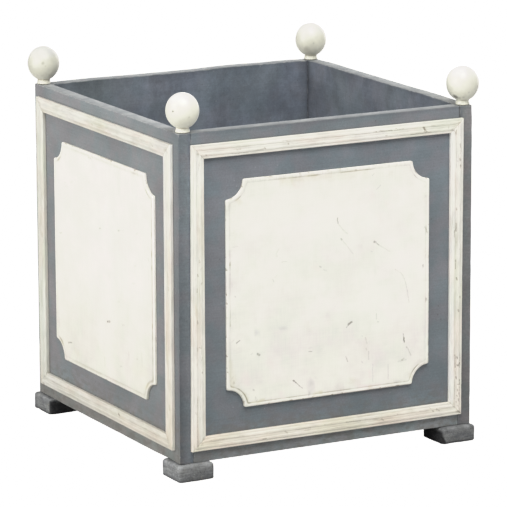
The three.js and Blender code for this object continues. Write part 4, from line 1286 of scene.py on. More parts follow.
# Scratches and nicks in millimetres from a face's top left corner, as (from, to,
# half width, strength). Smudges are softer: grey ones, khaki ones, pinkish ones.
# Last come the dirty stretches of the line inside the lip: (u, v, reach, strength).
MARKS = {
    "front": (
        [((253.4, 144.7), (254.3, 152.8), 1.7, 0.50), ((254.3, 152.8), (263.0, 163.3), 1.6, 0.25),
         ((263.0, 163.3), (270.0, 169.4), 2.0, 0.22), ((259.6, 176.3), (260.6, 177.4), 2.2, 0.40),
         ((261.0, 177.4), (272.3, 191.3), 1.5, 0.22), ((272.3, 191.3), (279.5, 200.5), 1.8, 0.16),
         ((314.6, 186.3), (316.8, 187.2), 2.2, 0.62), ((316.8, 187.2), (322.0, 191.8), 1.5, 0.45),
         ((322.0, 191.8), (340.0, 203.0), 1.4, 0.20), ((309.0, 200.0), (311.0, 200.5), 1.4, 0.20),
         ((324.8, 103.8), (318.4, 109.0), 1.6, 0.22), ((313.8, 85.8), (310.8, 88.2), 1.2, 0.26),
         ((349.3, 231.0), (358.7, 236.8), 1.3, 0.20), ((358.7, 236.8), (363.3, 242.5), 1.4, 0.26),
         ((363.3, 242.5), (367.4, 252.5), 1.6, 0.22), ((367.4, 252.5), (371.0, 270.0), 1.5, 0.26),
         ((371.0, 270.0), (373.4, 282.5), 1.5, 0.26), ((396.4, 230.0), (396.8, 233.4), 1.7, 0.60),
         ((400.0, 173.0), (404.0, 182.5), 1.4, 0.42), ((402.6, 280.5), (403.0, 284.0), 1.6, 0.42),
         ((86.0, 242.0), (87.2, 243.0), 1.6, 0.34), ((88.3, 311.0), (93.4, 307.4), 1.5, 0.50),
         ((83.6, 305.6), (84.6, 305.8), 1.4, 0.22), ((161.0, 199.8), (170.5, 200.0), 1.1, 0.22),
         ((157.5, 180.0), (153.0, 187.0), 1.6, 0.17), ((153.0, 187.0), (154.5, 190.5), 1.6, 0.16),
         ((147.5, 223.5), (149.0, 227.5), 1.5, 0.22), ((151.0, 221.0), (155.0, 217.5), 1.3, 0.14),
         ((224.4, 213.0), (226.0, 214.4), 1.6, 0.34), ((230.5, 218.5), (235.0, 220.0), 1.6, 0.20),
         ((83.5, 170.0), (91.5, 169.6), 1.3, 0.17), ((122.0, 330.8), (125.4, 332.4), 2.4, 0.66),
         ((112.0, 330.0), (114.0, 329.0), 1.6, 0.14), ((205.6, 337.4), (211.2, 337.6), 1.1, 0.42),
         ((206.0, 332.0), (211.0, 332.3), 1.0, 0.14), ((180.2, 376.9), (185.6, 381.4), 1.5, 0.82),
         ((185.6, 381.4), (190.4, 386.4), 1.3, 0.55), ((190.4, 386.4), (195.6, 390.4), 1.2, 0.40),
         ((115.2, 382.6), (116.0, 383.8), 2.2, 0.34), ((81.0, 362.0), (84.6, 369.5), 1.6, 0.30),
         ((118.6, 394.0), (119.6, 400.0), 1.8, 0.28), ((277.0, 301.4), (271.4, 304.8), 2.1, 0.72),
         ((271.4, 304.8), (268.4, 308.6), 1.3, 0.34), ((318.3, 293.5), (318.6, 301.5), 1.6, 0.22),
         ((320.3, 306.0), (322.5, 306.4), 1.5, 0.26), ((267.4, 352.0), (270.4, 359.6), 1.7, 0.40),
         ((294.0, 324.6), (295.2, 325.6), 1.5, 0.20), ((300.0, 327.0), (302.6, 336.5), 1.4, 0.20),
         ((301.6, 343.6), (302.4, 346.0), 1.6, 0.20), ((305.5, 349.0), (305.8, 361.0), 1.2, 0.24),
         ((312.5, 369.0), (312.7, 395.0), 1.3, 0.18), ((338.2, 373.0), (338.5, 393.5), 1.7, 0.18),
         ((294.0, 362.8), (295.2, 363.8), 1.7, 0.20), ((364.6, 335.4), (365.3, 341.6), 1.8, 0.86),
         ((363.6, 329.6), (364.2, 333.6), 1.5, 0.40), ((369.4, 349.4), (370.6, 351.4), 1.7, 0.34),
         ((371.5, 352.5), (376.8, 362.8), 1.5, 0.28), ((361.5, 368.6), (364.5, 366.6), 2.1, 0.44),
         ((355.0, 370.0), (369.0, 368.6), 1.5, 0.18)],
        ([((119.4, 295.0), (119.8, 301.0), 5.0, 0.40), ((118.2, 282.0), (118.6, 284.0), 3.0, 0.14),
          ((162.0, 299.8), (177.0, 299.8), 3.2, 0.42), ((239.6, 285.5), (240.4, 287.0), 7.0, 0.18),
          ((208.8, 387.0), (209.0, 394.0), 9.5, 0.46), ((206.4, 398.6), (206.8, 400.4), 4.0, 0.60),
          ((215.2, 370.4), (217.6, 377.6), 3.0, 0.30), ((318.4, 223.0), (318.6, 233.5), 2.8, 0.28),
          ((286.0, 260.0), (297.0, 256.0), 3.2, 0.14), ((202.8, 269.0), (203.2, 278.0), 2.4, 0.12),
          ((352.0, 399.6), (357.0, 399.4), 4.0, 0.26), ((291.5, 191.0), (293.0, 191.6), 3.0, 0.14)],
         [((164.0, 81.0), (196.0, 82.0), 7.0, 0.34), ((205.0, 80.0), (244.0, 82.0), 7.5, 0.36),
          ((240.0, 82.0), (300.0, 84.0), 11.0, 0.20), ((179.0, 80.0), (181.0, 86.0), 4.0, 0.50),
          ((92.0, 101.0), (93.5, 104.0), 5.5, 0.46), ((215.0, 402.0), (226.0, 402.0), 3.6, 0.60),
          ((115.0, 400.5), (131.0, 401.0), 3.2, 0.56), ((308.0, 401.0), (308.2, 403.0), 4.0, 0.60),
          ((275.0, 389.0), (290.0, 394.0), 6.0, 0.34), ((80.0, 340.0), (82.0, 372.0), 7.0, 0.36),
          ((375.0, 392.0), (379.0, 400.0), 5.0, 0.34), ((300.0, 330.0), (302.0, 356.0), 9.0, 0.15),
          ((205.0, 296.0), (206.0, 306.0), 7.0, 0.14)],
         [((184.0, 90.0), (195.0, 93.0), 6.0, 0.32), ((102.0, 362.0), (105.0, 372.0), 10.0, 0.26),
          ((140.0, 344.0), (144.0, 350.0), 7.0, 0.24), ((160.0, 392.0), (163.0, 401.0), 6.0, 0.34),
          ((217.0, 212.0), (221.0, 218.0), 7.0, 0.26), ((309.0, 117.0), (311.0, 121.0), 8.0, 0.26),
          ((336.0, 131.0), (340.0, 136.0), 8.0, 0.26), ((349.0, 121.0), (352.0, 124.0), 8.0, 0.24),
          ((322.0, 150.0), (324.0, 156.0), 8.0, 0.26), ((307.0, 377.0), (308.0, 386.0), 4.0, 0.34),
          ((290.0, 400.0), (325.0, 401.0), 4.0, 0.34), ((402.0, 240.0), (402.4, 330.0), 3.0, 0.26)]),
        [(78.7, 193.7, 3.5, 0.95), (79.0, 199.0, 3.0, 0.55), (79.0, 204.0, 30.0, 0.36), (78.7, 281.7, 3.5, 0.75),
         (78.7, 268.0, 14.0, 0.26), (147.0, 77.0, 24.0, 0.26), (181.0, 77.0, 20.0, 0.42), (214.0, 77.0, 10.0, 0.72),
         (279.0, 77.0, 22.0, 0.50), (305.0, 76.5, 9.0, 0.55), (401.0, 178.0, 7.0, 0.55), (402.0, 282.0, 4.0, 0.50),
         (401.0, 215.0, 60.0, 0.18), (150.0, 403.0, 60.0, 0.42), (240.0, 403.0, 60.0, 0.42), (330.0, 403.0, 50.0, 0.42),
         (308.0, 403.0, 5.0, 0.75), (82.0, 377.5, 6.0, 0.85), (92.0, 381.0, 6.0, 0.75), (99.0, 388.0, 6.0, 1.0),
         (103.0, 396.0, 6.0, 1.0), (107.0, 404.0, 6.0, 0.95), (385.0, 386.0, 8.0, 0.62), (386.0, 94.0, 5.0, 0.55),
         (92.0, 100.0, 6.0, 0.40)],
    ),
    "left": (
        [((193.0, 80.9), (204.0, 80.6), 1.6, 0.42), ((224.0, 156.6), (231.0, 155.6), 1.4, 0.16),
         ((228.0, 181.2), (233.4, 179.8), 2.2, 0.36), ((291.0, 172.8), (297.0, 171.4), 2.0, 0.42),
         ((297.0, 171.4), (311.0, 169.4), 1.2, 0.16), ((352.0, 166.0), (356.6, 164.8), 2.4, 0.20),
         ((90.0, 213.4), (98.4, 212.0), 1.8, 0.44), ((390.3, 194.6), (390.7, 199.0), 2.0, 0.28),
         ((389.2, 212.0), (389.6, 228.0), 1.4, 0.16), ((344.0, 215.2), (349.0, 213.6), 2.4, 0.16),
         ((337.0, 242.2), (347.0, 240.4), 1.8, 0.18), ((289.0, 279.2), (294.0, 277.8), 2.4, 0.14),
         ((302.0, 311.8), (309.0, 310.0), 2.2, 0.20), ((251.6, 316.6), (261.0, 315.0), 2.4, 0.74),
         ((114.6, 377.8), (127.2, 375.2), 1.8, 0.50), ((322.6, 348.0), (323.2, 358.0), 2.2, 0.20),
         ((365.6, 340.0), (366.4, 360.0), 2.2, 0.16), ((293.0, 376.0), (299.4, 374.6), 2.4, 0.18),
         ((241.6, 374.0), (242.4, 386.0), 2.4, 0.16), ((83.4, 334.0), (84.0, 360.0), 1.4, 0.22),
         ((131.0, 128.4), (139.0, 126.8), 2.6, 0.16), ((112.0, 138.4), (120.0, 136.8), 2.4, 0.12),
         ((193.0, 118.2), (198.4, 117.0), 2.4, 0.16), ((338.6, 94.0), (340.4, 107.0), 2.4, 0.14),
         ((259.0, 243.0), (260.0, 252.0), 2.2, 0.12), ((161.0, 274.0), (161.6, 282.0), 2.2, 0.12)],
        ([((298.0, 84.0), (295.0, 118.0), 6.0, 0.26), ((206.0, 86.0), (210.0, 90.0), 6.0, 0.20),
          ((301.0, 118.0), (303.0, 130.0), 4.0, 0.12)],
         [((377.0, 388.0), (390.0, 384.0), 6.0, 0.42), ((340.0, 370.0), (380.0, 366.0), 14.0, 0.18),
          ((384.0, 96.0), (386.0, 99.0), 4.0, 0.42), ((90.0, 100.0), (92.0, 101.0), 4.5, 0.36),
          ((84.0, 380.0), (96.0, 384.0), 4.0, 0.36), ((140.0, 385.0), (150.0, 388.0), 8.0, 0.22),
          ((220.0, 74.0), (340.0, 75.0), 3.0, 0.34)],
         [((196.0, 100.0), (203.0, 101.0), 8.0, 0.26), ((300.0, 272.0), (320.0, 268.0), 6.0, 0.30),
          ((402.0, 120.0), (403.0, 300.0), 4.0, 0.22)]),
        [(401.0, 230.0, 150.0, 0.44), (401.0, 158.0, 5.0, 0.62), (402.0, 187.0, 5.0, 0.90), (401.0, 207.0, 5.0, 0.85),
         (401.0, 292.5, 4.5, 0.95), (401.0, 326.0, 5.0, 0.60),
         (401.0, 372.0, 7.0, 0.60), (403.0, 115.0, 8.0, 0.45), (386.0, 97.0, 8.0, 0.55), (92.0, 101.0, 7.0, 0.55),
         (90.0, 382.0, 9.0, 0.55), (386.0, 386.0, 9.0, 0.45), (240.0, 76.0, 110.0, 0.20), (240.0, 404.0, 120.0, 0.22)],
    ),
    "right": (
        [((118.0, 170.0), (132.0, 196.0), 1.2, 0.34), ((132.0, 196.0), (137.0, 221.0), 1.0, 0.24),
         ((301.0, 262.0), (308.0, 266.0), 2.0, 0.55), ((214.0, 330.0), (218.0, 339.0), 1.6, 0.42),
         ((352.0, 148.0), (356.0, 151.0), 1.8, 0.40), ((166.0, 372.0), (177.0, 379.0), 1.3, 0.50),
         ((262.0, 118.0), (266.0, 124.0), 1.5, 0.30), ((92.0, 288.0), (95.0, 292.0), 1.8, 0.45),
         ((378.0, 341.0), (377.0, 352.0), 1.6, 0.46), ((246.0, 216.0), (249.0, 219.0), 1.8, 0.34),
         ((188.0, 262.0), (190.0, 268.0), 1.6, 0.22), ((331.0, 214.0), (341.0, 226.0), 1.2, 0.24),
         ((122.0, 306.0), (127.0, 308.0), 1.8, 0.30), ((286.0, 378.0), (290.0, 380.0), 1.8, 0.36),
         ((398.0, 206.0), (399.0, 214.0), 1.4, 0.36), ((84.0, 140.0), (86.0, 144.0), 1.5, 0.26)],
        ([((300.0, 384.0), (314.0, 396.0), 7.0, 0.28), ((120.0, 300.0), (126.0, 306.0), 5.0, 0.24),
          ((230.0, 210.0), (236.0, 214.0), 6.0, 0.16), ((344.0, 270.0), (346.0, 284.0), 3.0, 0.20)],
         [((120.0, 82.0), (180.0, 81.0), 8.0, 0.30), ((88.0, 356.0), (90.0, 376.0), 7.0, 0.34),
          ((340.0, 398.0), (372.0, 400.0), 5.0, 0.45), ((380.0, 96.0), (384.0, 100.0), 5.0, 0.40)],
         [((150.0, 140.0), (153.0, 146.0), 8.0, 0.24), ((270.0, 330.0), (274.0, 336.0), 8.0, 0.24),
          ((200.0, 398.0), (230.0, 399.0), 5.0, 0.28)]),
        [(78.5, 240.0, 26.0, 0.42), (79.0, 316.0, 5.0, 0.70), (150.0, 77.0, 24.0, 0.50), (236.0, 77.0, 8.0, 0.65),
         (320.0, 77.0, 30.0, 0.24), (401.5, 150.0, 7.0, 0.60), (401.5, 300.0, 40.0, 0.30), (240.0, 403.0, 110.0, 0.42),
         (384.0, 386.0, 9.0, 0.85), (94.0, 386.0, 9.0, 0.60), (386.0, 94.0, 7.0, 0.50)],
    ),
    "back": (
        [((208.0, 214.0), (226.0, 219.0), 1.2, 0.30), ((226.0, 219.0), (247.0, 232.0), 1.0, 0.22),
         ((144.0, 318.0), (149.0, 314.0), 2.0, 0.55), ((336.0, 296.0), (334.0, 307.0), 1.6, 0.50),
         ((280.0, 162.0), (284.0, 165.0), 1.7, 0.34), ((104.0, 146.0), (106.0, 152.0), 1.4, 0.36),
         ((371.0, 210.0), (376.0, 214.0), 1.5, 0.34), ((248.0, 371.0), (258.0, 380.0), 1.4, 0.55),
         ((172.0, 122.0), (175.0, 124.0), 1.8, 0.30), ((302.0, 236.0), (308.0, 250.0), 1.1, 0.24),
         ((190.0, 348.0), (193.0, 352.0), 1.8, 0.38), ((392.0, 330.0), (393.0, 338.0), 1.5, 0.36),
         ((96.0, 262.0), (100.0, 264.0), 1.6, 0.28)],
        ([((160.0, 388.0), (176.0, 398.0), 7.0, 0.28), ((352.0, 340.0), (358.0, 352.0), 5.0, 0.22),
          ((262.0, 286.0), (264.0, 290.0), 6.0, 0.18)],
         [((300.0, 81.0), (380.0, 82.0), 8.0, 0.30), ((392.0, 350.0), (394.0, 374.0), 7.0, 0.34),
          ((100.0, 398.0), (130.0, 400.0), 5.0, 0.42), ((92.0, 98.0), (95.0, 102.0), 5.0, 0.40)],
         [((330.0, 140.0), (334.0, 146.0), 8.0, 0.24), ((210.0, 300.0), (214.0, 306.0), 8.0, 0.22),
          ((300.0, 398.0), (336.0, 399.0), 5.0, 0.28)]),
        [(401.5, 230.0, 26.0, 0.42), (401.5, 318.0, 5.0, 0.70), (330.0, 77.0, 24.0, 0.50), (262.0, 77.0, 8.0, 0.65),
         (150.0, 77.0, 30.0, 0.24), (78.6, 170.0, 7.0, 0.60), (78.6, 300.0, 40.0, 0.30), (240.0, 403.0, 110.0, 0.42),
         (94.0, 386.0, 9.0, 0.80), (386.0, 386.0, 9.0, 0.55), (94.0, 94.0, 7.0, 0.50)],
    ),
}
for k, (face, degrees) in enumerate(FACES):
    marks, smudges, dirty = MARKS[face]
    wide = (2.8, 4.2, 6.0, 8.0) if face == "left" else (4.3, 5.3, 5.7, 6.9)
    mat = panel_material(f"panel_paint_{face}", 0.7 + 1.3 * k, wide, 0.45 if face in ("right", "back") else 1.0)
    make_panel(face, degrees, 301 + 13 * k, mat, marks, smudges, dirty)


# ---- finials -----------------------------------------------------------------
def finial_profile():
    """(radius, height above the rim): spigot, flared neck, ball."""
    pts = [(0.0, -27.7), (2.6, -27.7), (3.5, -27.4), (3.9, -26.7), (4.0, -25.5), (4.0, -14.0), (4.0, -1.0), (4.05, 0.12)]
    pts += [(7.0, 0.1), (9.4, 0.1), (10.0, 0.2), (10.35, 0.6), (10.46, 1.15), (10.34, 1.8), (10.06, 2.6),
            (9.80, 3.6), (9.56, 4.7), (9.42, 5.8), (9.34, 6.6)]
    a_r, b_r, centre = 24.2, 26.0, 31.0
    first = math.asin(-math.sqrt(1 - (9.34 / a_r) ** 2))
    steps = 66
    for i in range(1, steps + 1):
        a = first + (math.pi / 2 - first) * i / steps
        pts.append((0.0 if i == steps else a_r * math.cos(a), centre + b_r * math.sin(a)))
    return pts


def make_finial(fb, lr, seed, shift=(0.0, 0.0), stain=None, tone=0.85, taller=0.0, paler=0.07):
    sx, sy = (-1 if lr == "left" else 1), (-1 if fb == "front" else 1)
    prof = finial_profile()
    m = 132
    verts = [(0.0, 0.0, prof[0][1])]
    for r, z in prof[1:-1]:
        for s in range(m):
            a = 2 * math.pi * s / m
            verts.append((r * math.cos(a), r * math.sin(a), z))
    verts.append((0.0, 0.0, prof[-1][1]))
    faces = []
    rows = len(prof) - 2
    for s in range(m):
        t = (s + 1) % m
        faces.append([0, 1 + t, 1 + s])
        for k in range(rows - 1):
            a, b = 1 + k * m + s, 1 + k * m + t
            faces.append([a, b, b + m, a + m])
        faces.append([1 + (rows - 1) * m + s, 1 + (rows - 1) * m + t, len(verts) - 1])
    v = np.array(verts)
    ph = v[:, 2].copy()
    ball = np.clip((v[:, 2] - 7.0) / 6.0, 0, 1)
    centre = np.array([0, 0, 31.0])
    d = v - centre
    r = np.linalg.norm(d, axis=1)[:, None]
    lump = 0.22 * noise(v + seed * 31.0, 26.0, seed) + 0.05 * noise(v + seed * 17.0, 7.0, seed + 1) - 0.27
    v = v + d / np.maximum(r, 1e-6) * (lump * ball)[:, None]
    v[:, 2] += taller * np.clip(ph / 7.0, 0, 1)
    st = np.zeros(len(v))
    for (dx, dy, dz), size, strength in (stain or []):
        n = np.array([dx, dy, dz], float)
        n /= np.linalg.norm(n)
        cosine = (v - centre) @ n / np.maximum(np.linalg.norm(v - centre, axis=1), 1e-6)
        st = np.maximum(st, strength * np.clip(1 - np.arccos(np.clip(cosine, -1, 1)) * 25.0 / size, 0, 1) ** 0.7)
    place = np.array([sx * FINIAL_AT + shift[0], sy * FINIAL_AT + shift[1], Z_RIM + GAP])
    # painted light: the tone attribute makes the ball paler on its right, front and lower side
    attrs = {
        "pc": v * MM + np.array([seed * 0.173, seed * 0.059, 0.0]),
        "ph": ph,
        "stain": st,
        "tone": tone * (1 + paler * np.clip((d @ np.array([0.86, -0.45, -0.25])) / 25.0, 0, 1)),
    }
    return make_piece(f"ball_finial_{fb}_{lr}", f"finial_{fb}_{lr}",
                      v + place, faces, attrs, FINIAL, sharp=40.0)


make_finial("front", "left", 5, (2.2, 0.4), tone=0.83,
            stain=[((-0.868, -0.486, 0.102), 2.2, 1.0), ((-0.84, -0.53, 0.10), 1.6, 0.7), ((-0.05, -0.97, -0.25), 2.0, 0.20)])
make_finial("front", "right", 8, tone=0.83,
            stain=[((-0.656, -0.265, -0.706), 5.2, 1.0), ((-0.62, -0.31, -0.72), 4.2, 1.0), ((-0.48, -0.43, -0.77), 3.2, 0.35),
                   ((-0.30, -0.62, -0.72), 2.4, 0.30), ((-0.10, -0.90, -0.42), 2.0, 0.24)])
make_finial("back", "left", 14, (0.6, 0.0), stain=[((-0.447, -0.879, 0.165), 3.0, 0.40), ((-0.30, -0.95, -0.02), 1.6, 0.24)],
            tone=0.67, taller=0.2, paler=0.13)
make_finial("back", "right", 19, stain=[((-0.60, -0.62, -0.50), 6.5, 0.24), ((-0.30, -0.94, -0.10), 1.8, 0.24)], tone=0.82)


# ---- feet --------------------------------------------------------------------
def make_foot(fb, lr, seed, shift=(0.0, 0.0), longer=0.0, broken=0.0, deeper=0.0, tone=1.0, rb=2.2, rt=4.8,
              corner=4.6, sides=(0.0, 0.0)):
    """A rough block with worn, unevenly rounded edges. The sides that face in
    under the tub are painted near black, a painted shadow. broken cuts the low inner front corner."""
    sx, sy = (-1 if lr == "left" else 1), (-1 if fb == "front" else 1)
    h = FOOT / 2

    def outline(inset, corner):
        pts = []
        a = h - inset
        e = max(corner - inset * 0.6, 0.9)
        side = 24
        for q, (cx, cy, a0) in enumerate(((1, 1, 0), (-1, 1, 90), (-1, -1, 180), (1, -1, 270))):
            for i in range(6):
                t = math.radians(a0 + 90 * i / 5)
                pts.append((cx * (a - e) + e * math.cos(t), cy * (a - e) + e * math.sin(t)))
            x0, y0 = pts[-1]
            qn = (q + 1) % 4
            c2 = ((1, 1, 0), (-1, 1, 90), (-1, -1, 180), (1, -1, 270))[qn]
            t = math.radians(c2[2])
            x1, y1 = c2[0] * (a - e) + e * math.cos(t), c2[1] * (a - e) + e * math.sin(t)
            for i in range(1, side):
                pts.append((x0 + (x1 - x0) * i / side, y0 + (y1 - y0) * i / side))
        return np.array(pts)

    levels = []
    flat_in = [24.5, 21.0, 18.0, 15.0, 12.0, 9.5, 7.5, 5.9]
    for f in flat_in:
        levels.append((f, 0.0))
    for a in (90, 70, 52, 34, 17, 0):
        levels.append((rb - rb * math.cos(math.radians(a)), rb - rb * math.sin(math.radians(a))))
    for z in np.linspace(rb, FOOT_H - rt, 10)[1:-1]:
        levels.append((0.0, float(z)))
    for a in (0, 17, 34, 52, 70, 90):
        levels.append((rt - rt * math.cos(math.radians(a)), FOOT_H - rt + rt * math.sin(math.radians(a))))
    for f in reversed(flat_in):
        levels.append((f, FOOT_H))
    rings = [outline(i, corner) for i, _ in levels]
    n = len(rings[0])
    verts = np.concatenate([np.column_stack([ring, np.full(n, z)]) for ring, (_, z) in zip(rings, levels)])
    low, high = len(verts), len(verts) + 1
    verts = np.vstack([verts, [0, 0, 0.0], [0, 0, FOOT_H]])
    faces = []
    for k in range(len(levels) - 1):
        for i in range(n):
            j = (i + 1) % n
            a, b = k * n + i, k * n + j
            faces.append([a, b, b + n, a + n])
    top = (len(levels) - 1) * n
    for i in range(n):
        j = (i + 1) % n
        faces.append([j, i, low])
        faces.append([top + i, top + j, high])
    x, y, z = verts.T
    q = np.stack([np.clip(x, -h + 5, h - 5), np.clip(y, -h + 5, h - 5), np.clip(z, 5, FOOT_H - 5)], 1)
    out = verts - q
    length = np.linalg.norm(out, axis=1)
    out = out / np.maximum(length, 1e-6)[:, None]
    out[length < 1e-3] = 0
    near = np.sort(np.stack([h - abs(x), h - abs(y), np.minimum(z, FOOT_H - z)], 1), axis=1)[:, 1]
    s = verts + seed * 61.0
    move = (0.30 * noise(s, 21.0, seed) + 0.22 * noise(s * (1, 1, 3.0), 9.0, seed + 1)
            + 0.12 * noise(s * (1, 1, 2.0), 3.6, seed + 2) - 0.10)
    move -= 1.3 * np.clip(noise(s, 13.0, seed + 3) - 0.1, 0, 1) * np.exp(-near / 3.0)
    # painted shadow on the sides facing in under the tub, ragged near the top
    inn = np.clip((np.maximum(-sx * out[:, 0], -sy * out[:, 1]) - 0.45) / 0.35, 0, 1)
    inn = inn * np.clip((FOOT_H - 2.0 - z) / 4.0 + noise(s, 8.0, seed + 6) * 0.5, 0, 1)
    verts = verts + out * move[:, None]
    verts[:, 0] += longer * np.clip(x / h * sx * -1.0, 0, 1) * -sx
    verts[:, 1] -= deeper * np.clip(-y / h, 0, 1)
    if broken:
        cut = broken * np.clip((23.0 - z) / 23.0, 0, 1) + 0.8 * noise(s, 7.0, seed + 7)
        depth = np.clip(cut - ((x * sx + h) + 0.8 * (y + h)), 0, None)
        verts[:, 0] += depth * 0.75 * sx
        verts[:, 1] += depth * 0.25
        inn = np.maximum(inn, np.clip(depth / 1.2, 0, 1))
    verts[:, 2] = np.clip(verts[:, 2], 0.0, FOOT_H)
    # tone carries painted light and shade per side: sides[0] on the side facing -Y, sides[1] on the side facing -X
    attrs = {
        "pc": np.stack([x, y, z], 1) * MM + np.array([seed * 0.091, seed * 0.203, 0.0]),
        "fz": z,
        "ed": near,
        "inn": inn,
        "tone": tone * (1 + sides[0] * np.clip(-out[:, 1], 0, 1) + sides[1] * np.clip(-out[:, 0], 0, 1)),
    }
    place = np.array([sx * FOOT_AT + shift[0], sy * FOOT_AT + shift[1], 0.0])
    return make_piece(f"block_foot_{fb}_{lr}", f"foot_{fb}_{lr}",
                      verts + place, faces, attrs, FOOT_PAINT, sharp=60.0)


# painted light on this foot's left side, which faces the light, and painted shade on its front
make_foot("front", "left", 41, (-2.1, -0.8), longer=3.5, deeper=2.4, corner=5.0, sides=(-0.07, 0.18))
make_foot("front", "right", 48, (0.7, -0.8), longer=4.2, broken=7.5, deeper=3.2, tone=0.88, rb=2.6)
make_foot("back", "left", 55, (-3.3, 0.8), deeper=3.0, rt=3.4, corner=6.0)
make_foot("back", "right", 62, (0.6, 0.8))


# ---- floor -------------------------------------------------------------------
def make_timber(name, node, lo, hi, along, seed):
    """A planed length of softwood. along is the axis its grain follows."""
    steps = [9.0, 9.0, 6.0]
    steps[along] = 16.0
    verts, faces, out = rounded_box(lo, hi, 0.9, steps, extra=(1.8, 4.0), seg=2)
    centre = (np.array(lo) + np.array(hi)) / 2
    size = np.array(hi) - np.array(lo)
    d = np.sort(size / 2 - abs(verts - centre), axis=1)[:, 1]
    s = verts + seed * 53.0
    move = 0.10 * noise(s, 60.0, seed) + 0.05 * noise(s, 12.0, seed + 1) - 0.15
    move -= 0.7 * np.clip(noise(s, 11.0, seed + 2) - 0.35, 0, 1) * np.exp(-np.maximum(d, 0) / 1.6)
    moved = verts + out * move[:, None]
    other = 1 - along
    rel = verts - centre
    attrs = {
        "pc": np.stack([rel[:, other], rel[:, along], rel[:, 2]], 1) * MM + np.array([0.0, seed * 0.37, 0.0]),
        "ed": np.maximum(d, 0),
    }
    return make_piece(name, node, moved, faces, attrs, WOOD)


for s, lr in ((-1, "left"), (1, "right")):
    lo_, hi_ = (np.array(c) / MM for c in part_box(f"floor_bearer_{lr}"))
    make_timber(f"bearer_{lr}", f"floor_bearer_{lr}", tuple(lo_), tuple(hi_), 1, 71 + s)
for i in range(1, 6):
    lo_, hi_ = (np.array(c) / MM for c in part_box(f"floor_slat_{i}"))
    make_timber(f"slat_{i}", f"floor_slat_{i}", tuple(lo_), tuple(hi_), 0, 80 + i)


# ---- stage and light ------------------------------------------------------------
def flat_square(name, side, z):
    me = bpy.data.meshes.new(name)
    h = side / 2
    me.from_pydata([(-h, -h, z), (h, -h, z), (h, h, z), (-h, h, z)], [], [[0, 1, 2, 3]])
    ob = bpy.data.objects.new(name, me)
    bpy.context.scene.collection.objects.link(ob)
    return ob


def make_stage():
    floor = flat_square("studio_floor", 40.0, 0.0)
    t = Tree("studio_floor_pale")
    out = t.node("OutputMaterial")
    diffuse = t.node("BsdfDiffuse")
    # painted shadow on the floor under the tub, where little light creeps in
    at = t.split(t.node("NewGeometry").outputs["Position"])
    dim = t.math("MULTIPLY", t.span(at[0], -0.185, -0.09), t.span(at[0], 0.236, 0.200))
    dim = t.math("MULTIPLY", dim, t.math("MULTIPLY", t.span(at[1], -0.138, -0.05), t.span(at[1], 0.236, 0.200)))
    pale = t.mix(dim, (0.82, 0.82, 0.82), (0.060, 0.058, 0.056))
    t.put(diffuse.inputs["Color"], pale)
    glow = t.node("Emission")
    t.put(glow.inputs["Color"], t.mix(dim, (1.0, 1.0, 1.0), (0.050, 0.049, 0.048)))
    glow.inputs["Strength"].default_value = 1.50
    both = t.node("MixShader")
    both.inputs[0].default_value = 0.90
    t.put(both.inputs[1], diffuse.outputs[0])
    t.put(both.inputs[2], glow.outputs[0])
    clear = t.node("BsdfTransparent")
    under = t.node("NewGeometry").outputs["Backfacing"]
    pick = t.node("MixShader")
    t.put(pick.inputs[0], under)
    t.put(pick.inputs[1], both.outputs[0])
    t.put(pick.inputs[2], clear.outputs[0])
    t.put(out.inputs["Surface"], pick.outputs[0])
    floor.data.materials.append(t.material)
    floor.visible_diffuse = False
    floor.visible_glossy = False
    floor.visible_shadow = False
    floor.visible_transmission = False

    bounce = flat_square("studio_floor_bounce", 40.0, -0.002)
    b = Tree("studio_floor_bounce_pale")
    out = b.node("OutputMaterial")
    diffuse = b.node("BsdfDiffuse")
    diffuse.inputs["Color"].default_value = (0.50, 0.50, 0.50, 1.0)
    b.put(out.inputs["Surface"], diffuse.outputs[0])
    bounce.data.materials.append(b.material)
    bounce.visible_camera = False

    world = bpy.data.worlds.new("studio")
    bpy.context.scene.world = world
    world.use_nodes = True
    nt = world.node_tree
    nt.nodes.clear()
    path = nt.nodes.new("ShaderNodeLightPath")
    seen = nt.nodes.new("ShaderNodeBackground")
    seen.inputs["Strength"].default_value = 1.60
    soft = nt.nodes.new("ShaderNodeBackground")
    soft.inputs["Color"].default_value = (0.98, 0.99, 1.0, 1.0)
    soft.inputs["Strength"].default_value = 0.42
    pick = nt.nodes.new("ShaderNodeMixShader")
    out = nt.nodes.new("ShaderNodeOutputWorld")
    nt.links.new(path.outputs["Is Camera Ray"], pick.inputs[0])
    nt.links.new(soft.outputs[0], pick.inputs[1])
    nt.links.new(seen.outputs[0], pick.inputs[2])
    nt.links.new(pick.outputs[0], out.inputs["Surface"])


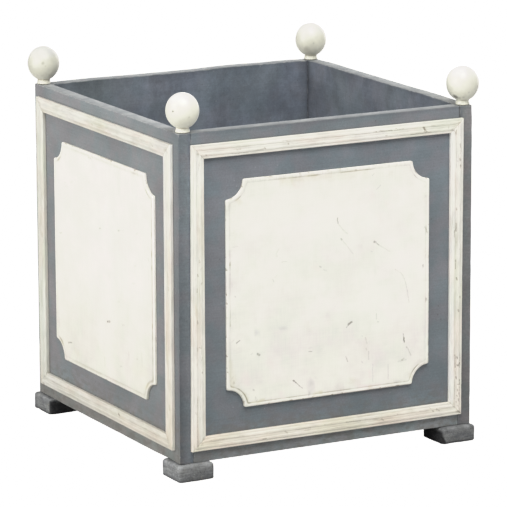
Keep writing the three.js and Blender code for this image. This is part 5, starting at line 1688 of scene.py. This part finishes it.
def softbox(name, azimuth, elevation, distance, width, height, level, colour=(1, 1, 1)):
    """level is the light it gives a surface that faces it, as a share of white."""
    data = bpy.data.lights.new(name, "AREA")
    data.shape = "RECTANGLE"
    data.size, data.size_y = width, height
    data.energy = level * math.pi ** 2 * distance ** 2
    data.color = colour
    ob = bpy.data.objects.new(name, data)
    a, e = math.radians(azimuth), math.radians(elevation)
    way = Vector((math.sin(a) * math.cos(e), -math.cos(a) * math.cos(e), math.sin(e)))
    ob.location = Vector((0, 0, 0.27)) + way * distance
    ob.rotation_mode = "QUATERNION"
    ob.rotation_quaternion = (-way).to_track_quat("-Z", "Y")
    bpy.context.scene.collection.objects.link(ob)


make_stage()
softbox("key_left", -86.0, 16.0, 3.0, 2.2, 2.0, 0.62)
softbox("key_top", -14.0, 54.0, 3.0, 1.8, 1.6, 0.80)
softbox("fill_behind", 128.0, 14.0, 3.0, 3.2, 1.8, 0.42)


# ---- tone ----------------------------------------------------------------------
def set_tone():
    scene = bpy.context.scene
    view = scene.view_settings
    view.view_transform = "Standard"
    view.look = "None"
    view.exposure = 0.0
    view.gamma = 1.0
    view.use_curve_mapping = True
    cm = view.curve_mapping
    top = 2.0
    cm.use_clip = True
    cm.white_level = (top, top, top)
    # a shoulder for the lights; creams stay warm as they near white
    curves = {
        3: [(0.0, 0.0), (0.25, 0.25), (0.5, 0.52), (0.7, 0.75), (0.82, 0.848), (0.95, 0.882), (1.08, 0.918),
            (1.2, 0.962), (1.3, 1.0), (2.0, 1.0)],
        1: [(0.0, 0.0), (0.76, 0.76), (0.808, 0.80), (0.945, 0.86), (1.06, 1.0), (1.2, 1.2), (2.0, 2.0)],
        2: [(0.0, 0.0), (0.66, 0.66), (0.75, 0.722), (0.905, 0.776), (1.04, 0.96), (1.16, 1.16), (2.0, 2.0)],
    }
    for channel, points in curves.items():
        curve = cm.curves[channel]
        while len(curve.points) < len(points):
            curve.points.new(0.5, 0.5)
        for p, (x, y) in zip(curve.points, points):
            p.location = (x / top, y if channel == 3 else y / top)
            if channel != 3 or x >= 1.2:
                p.handle_type = "VECTOR"
    cm.update()


set_tone()
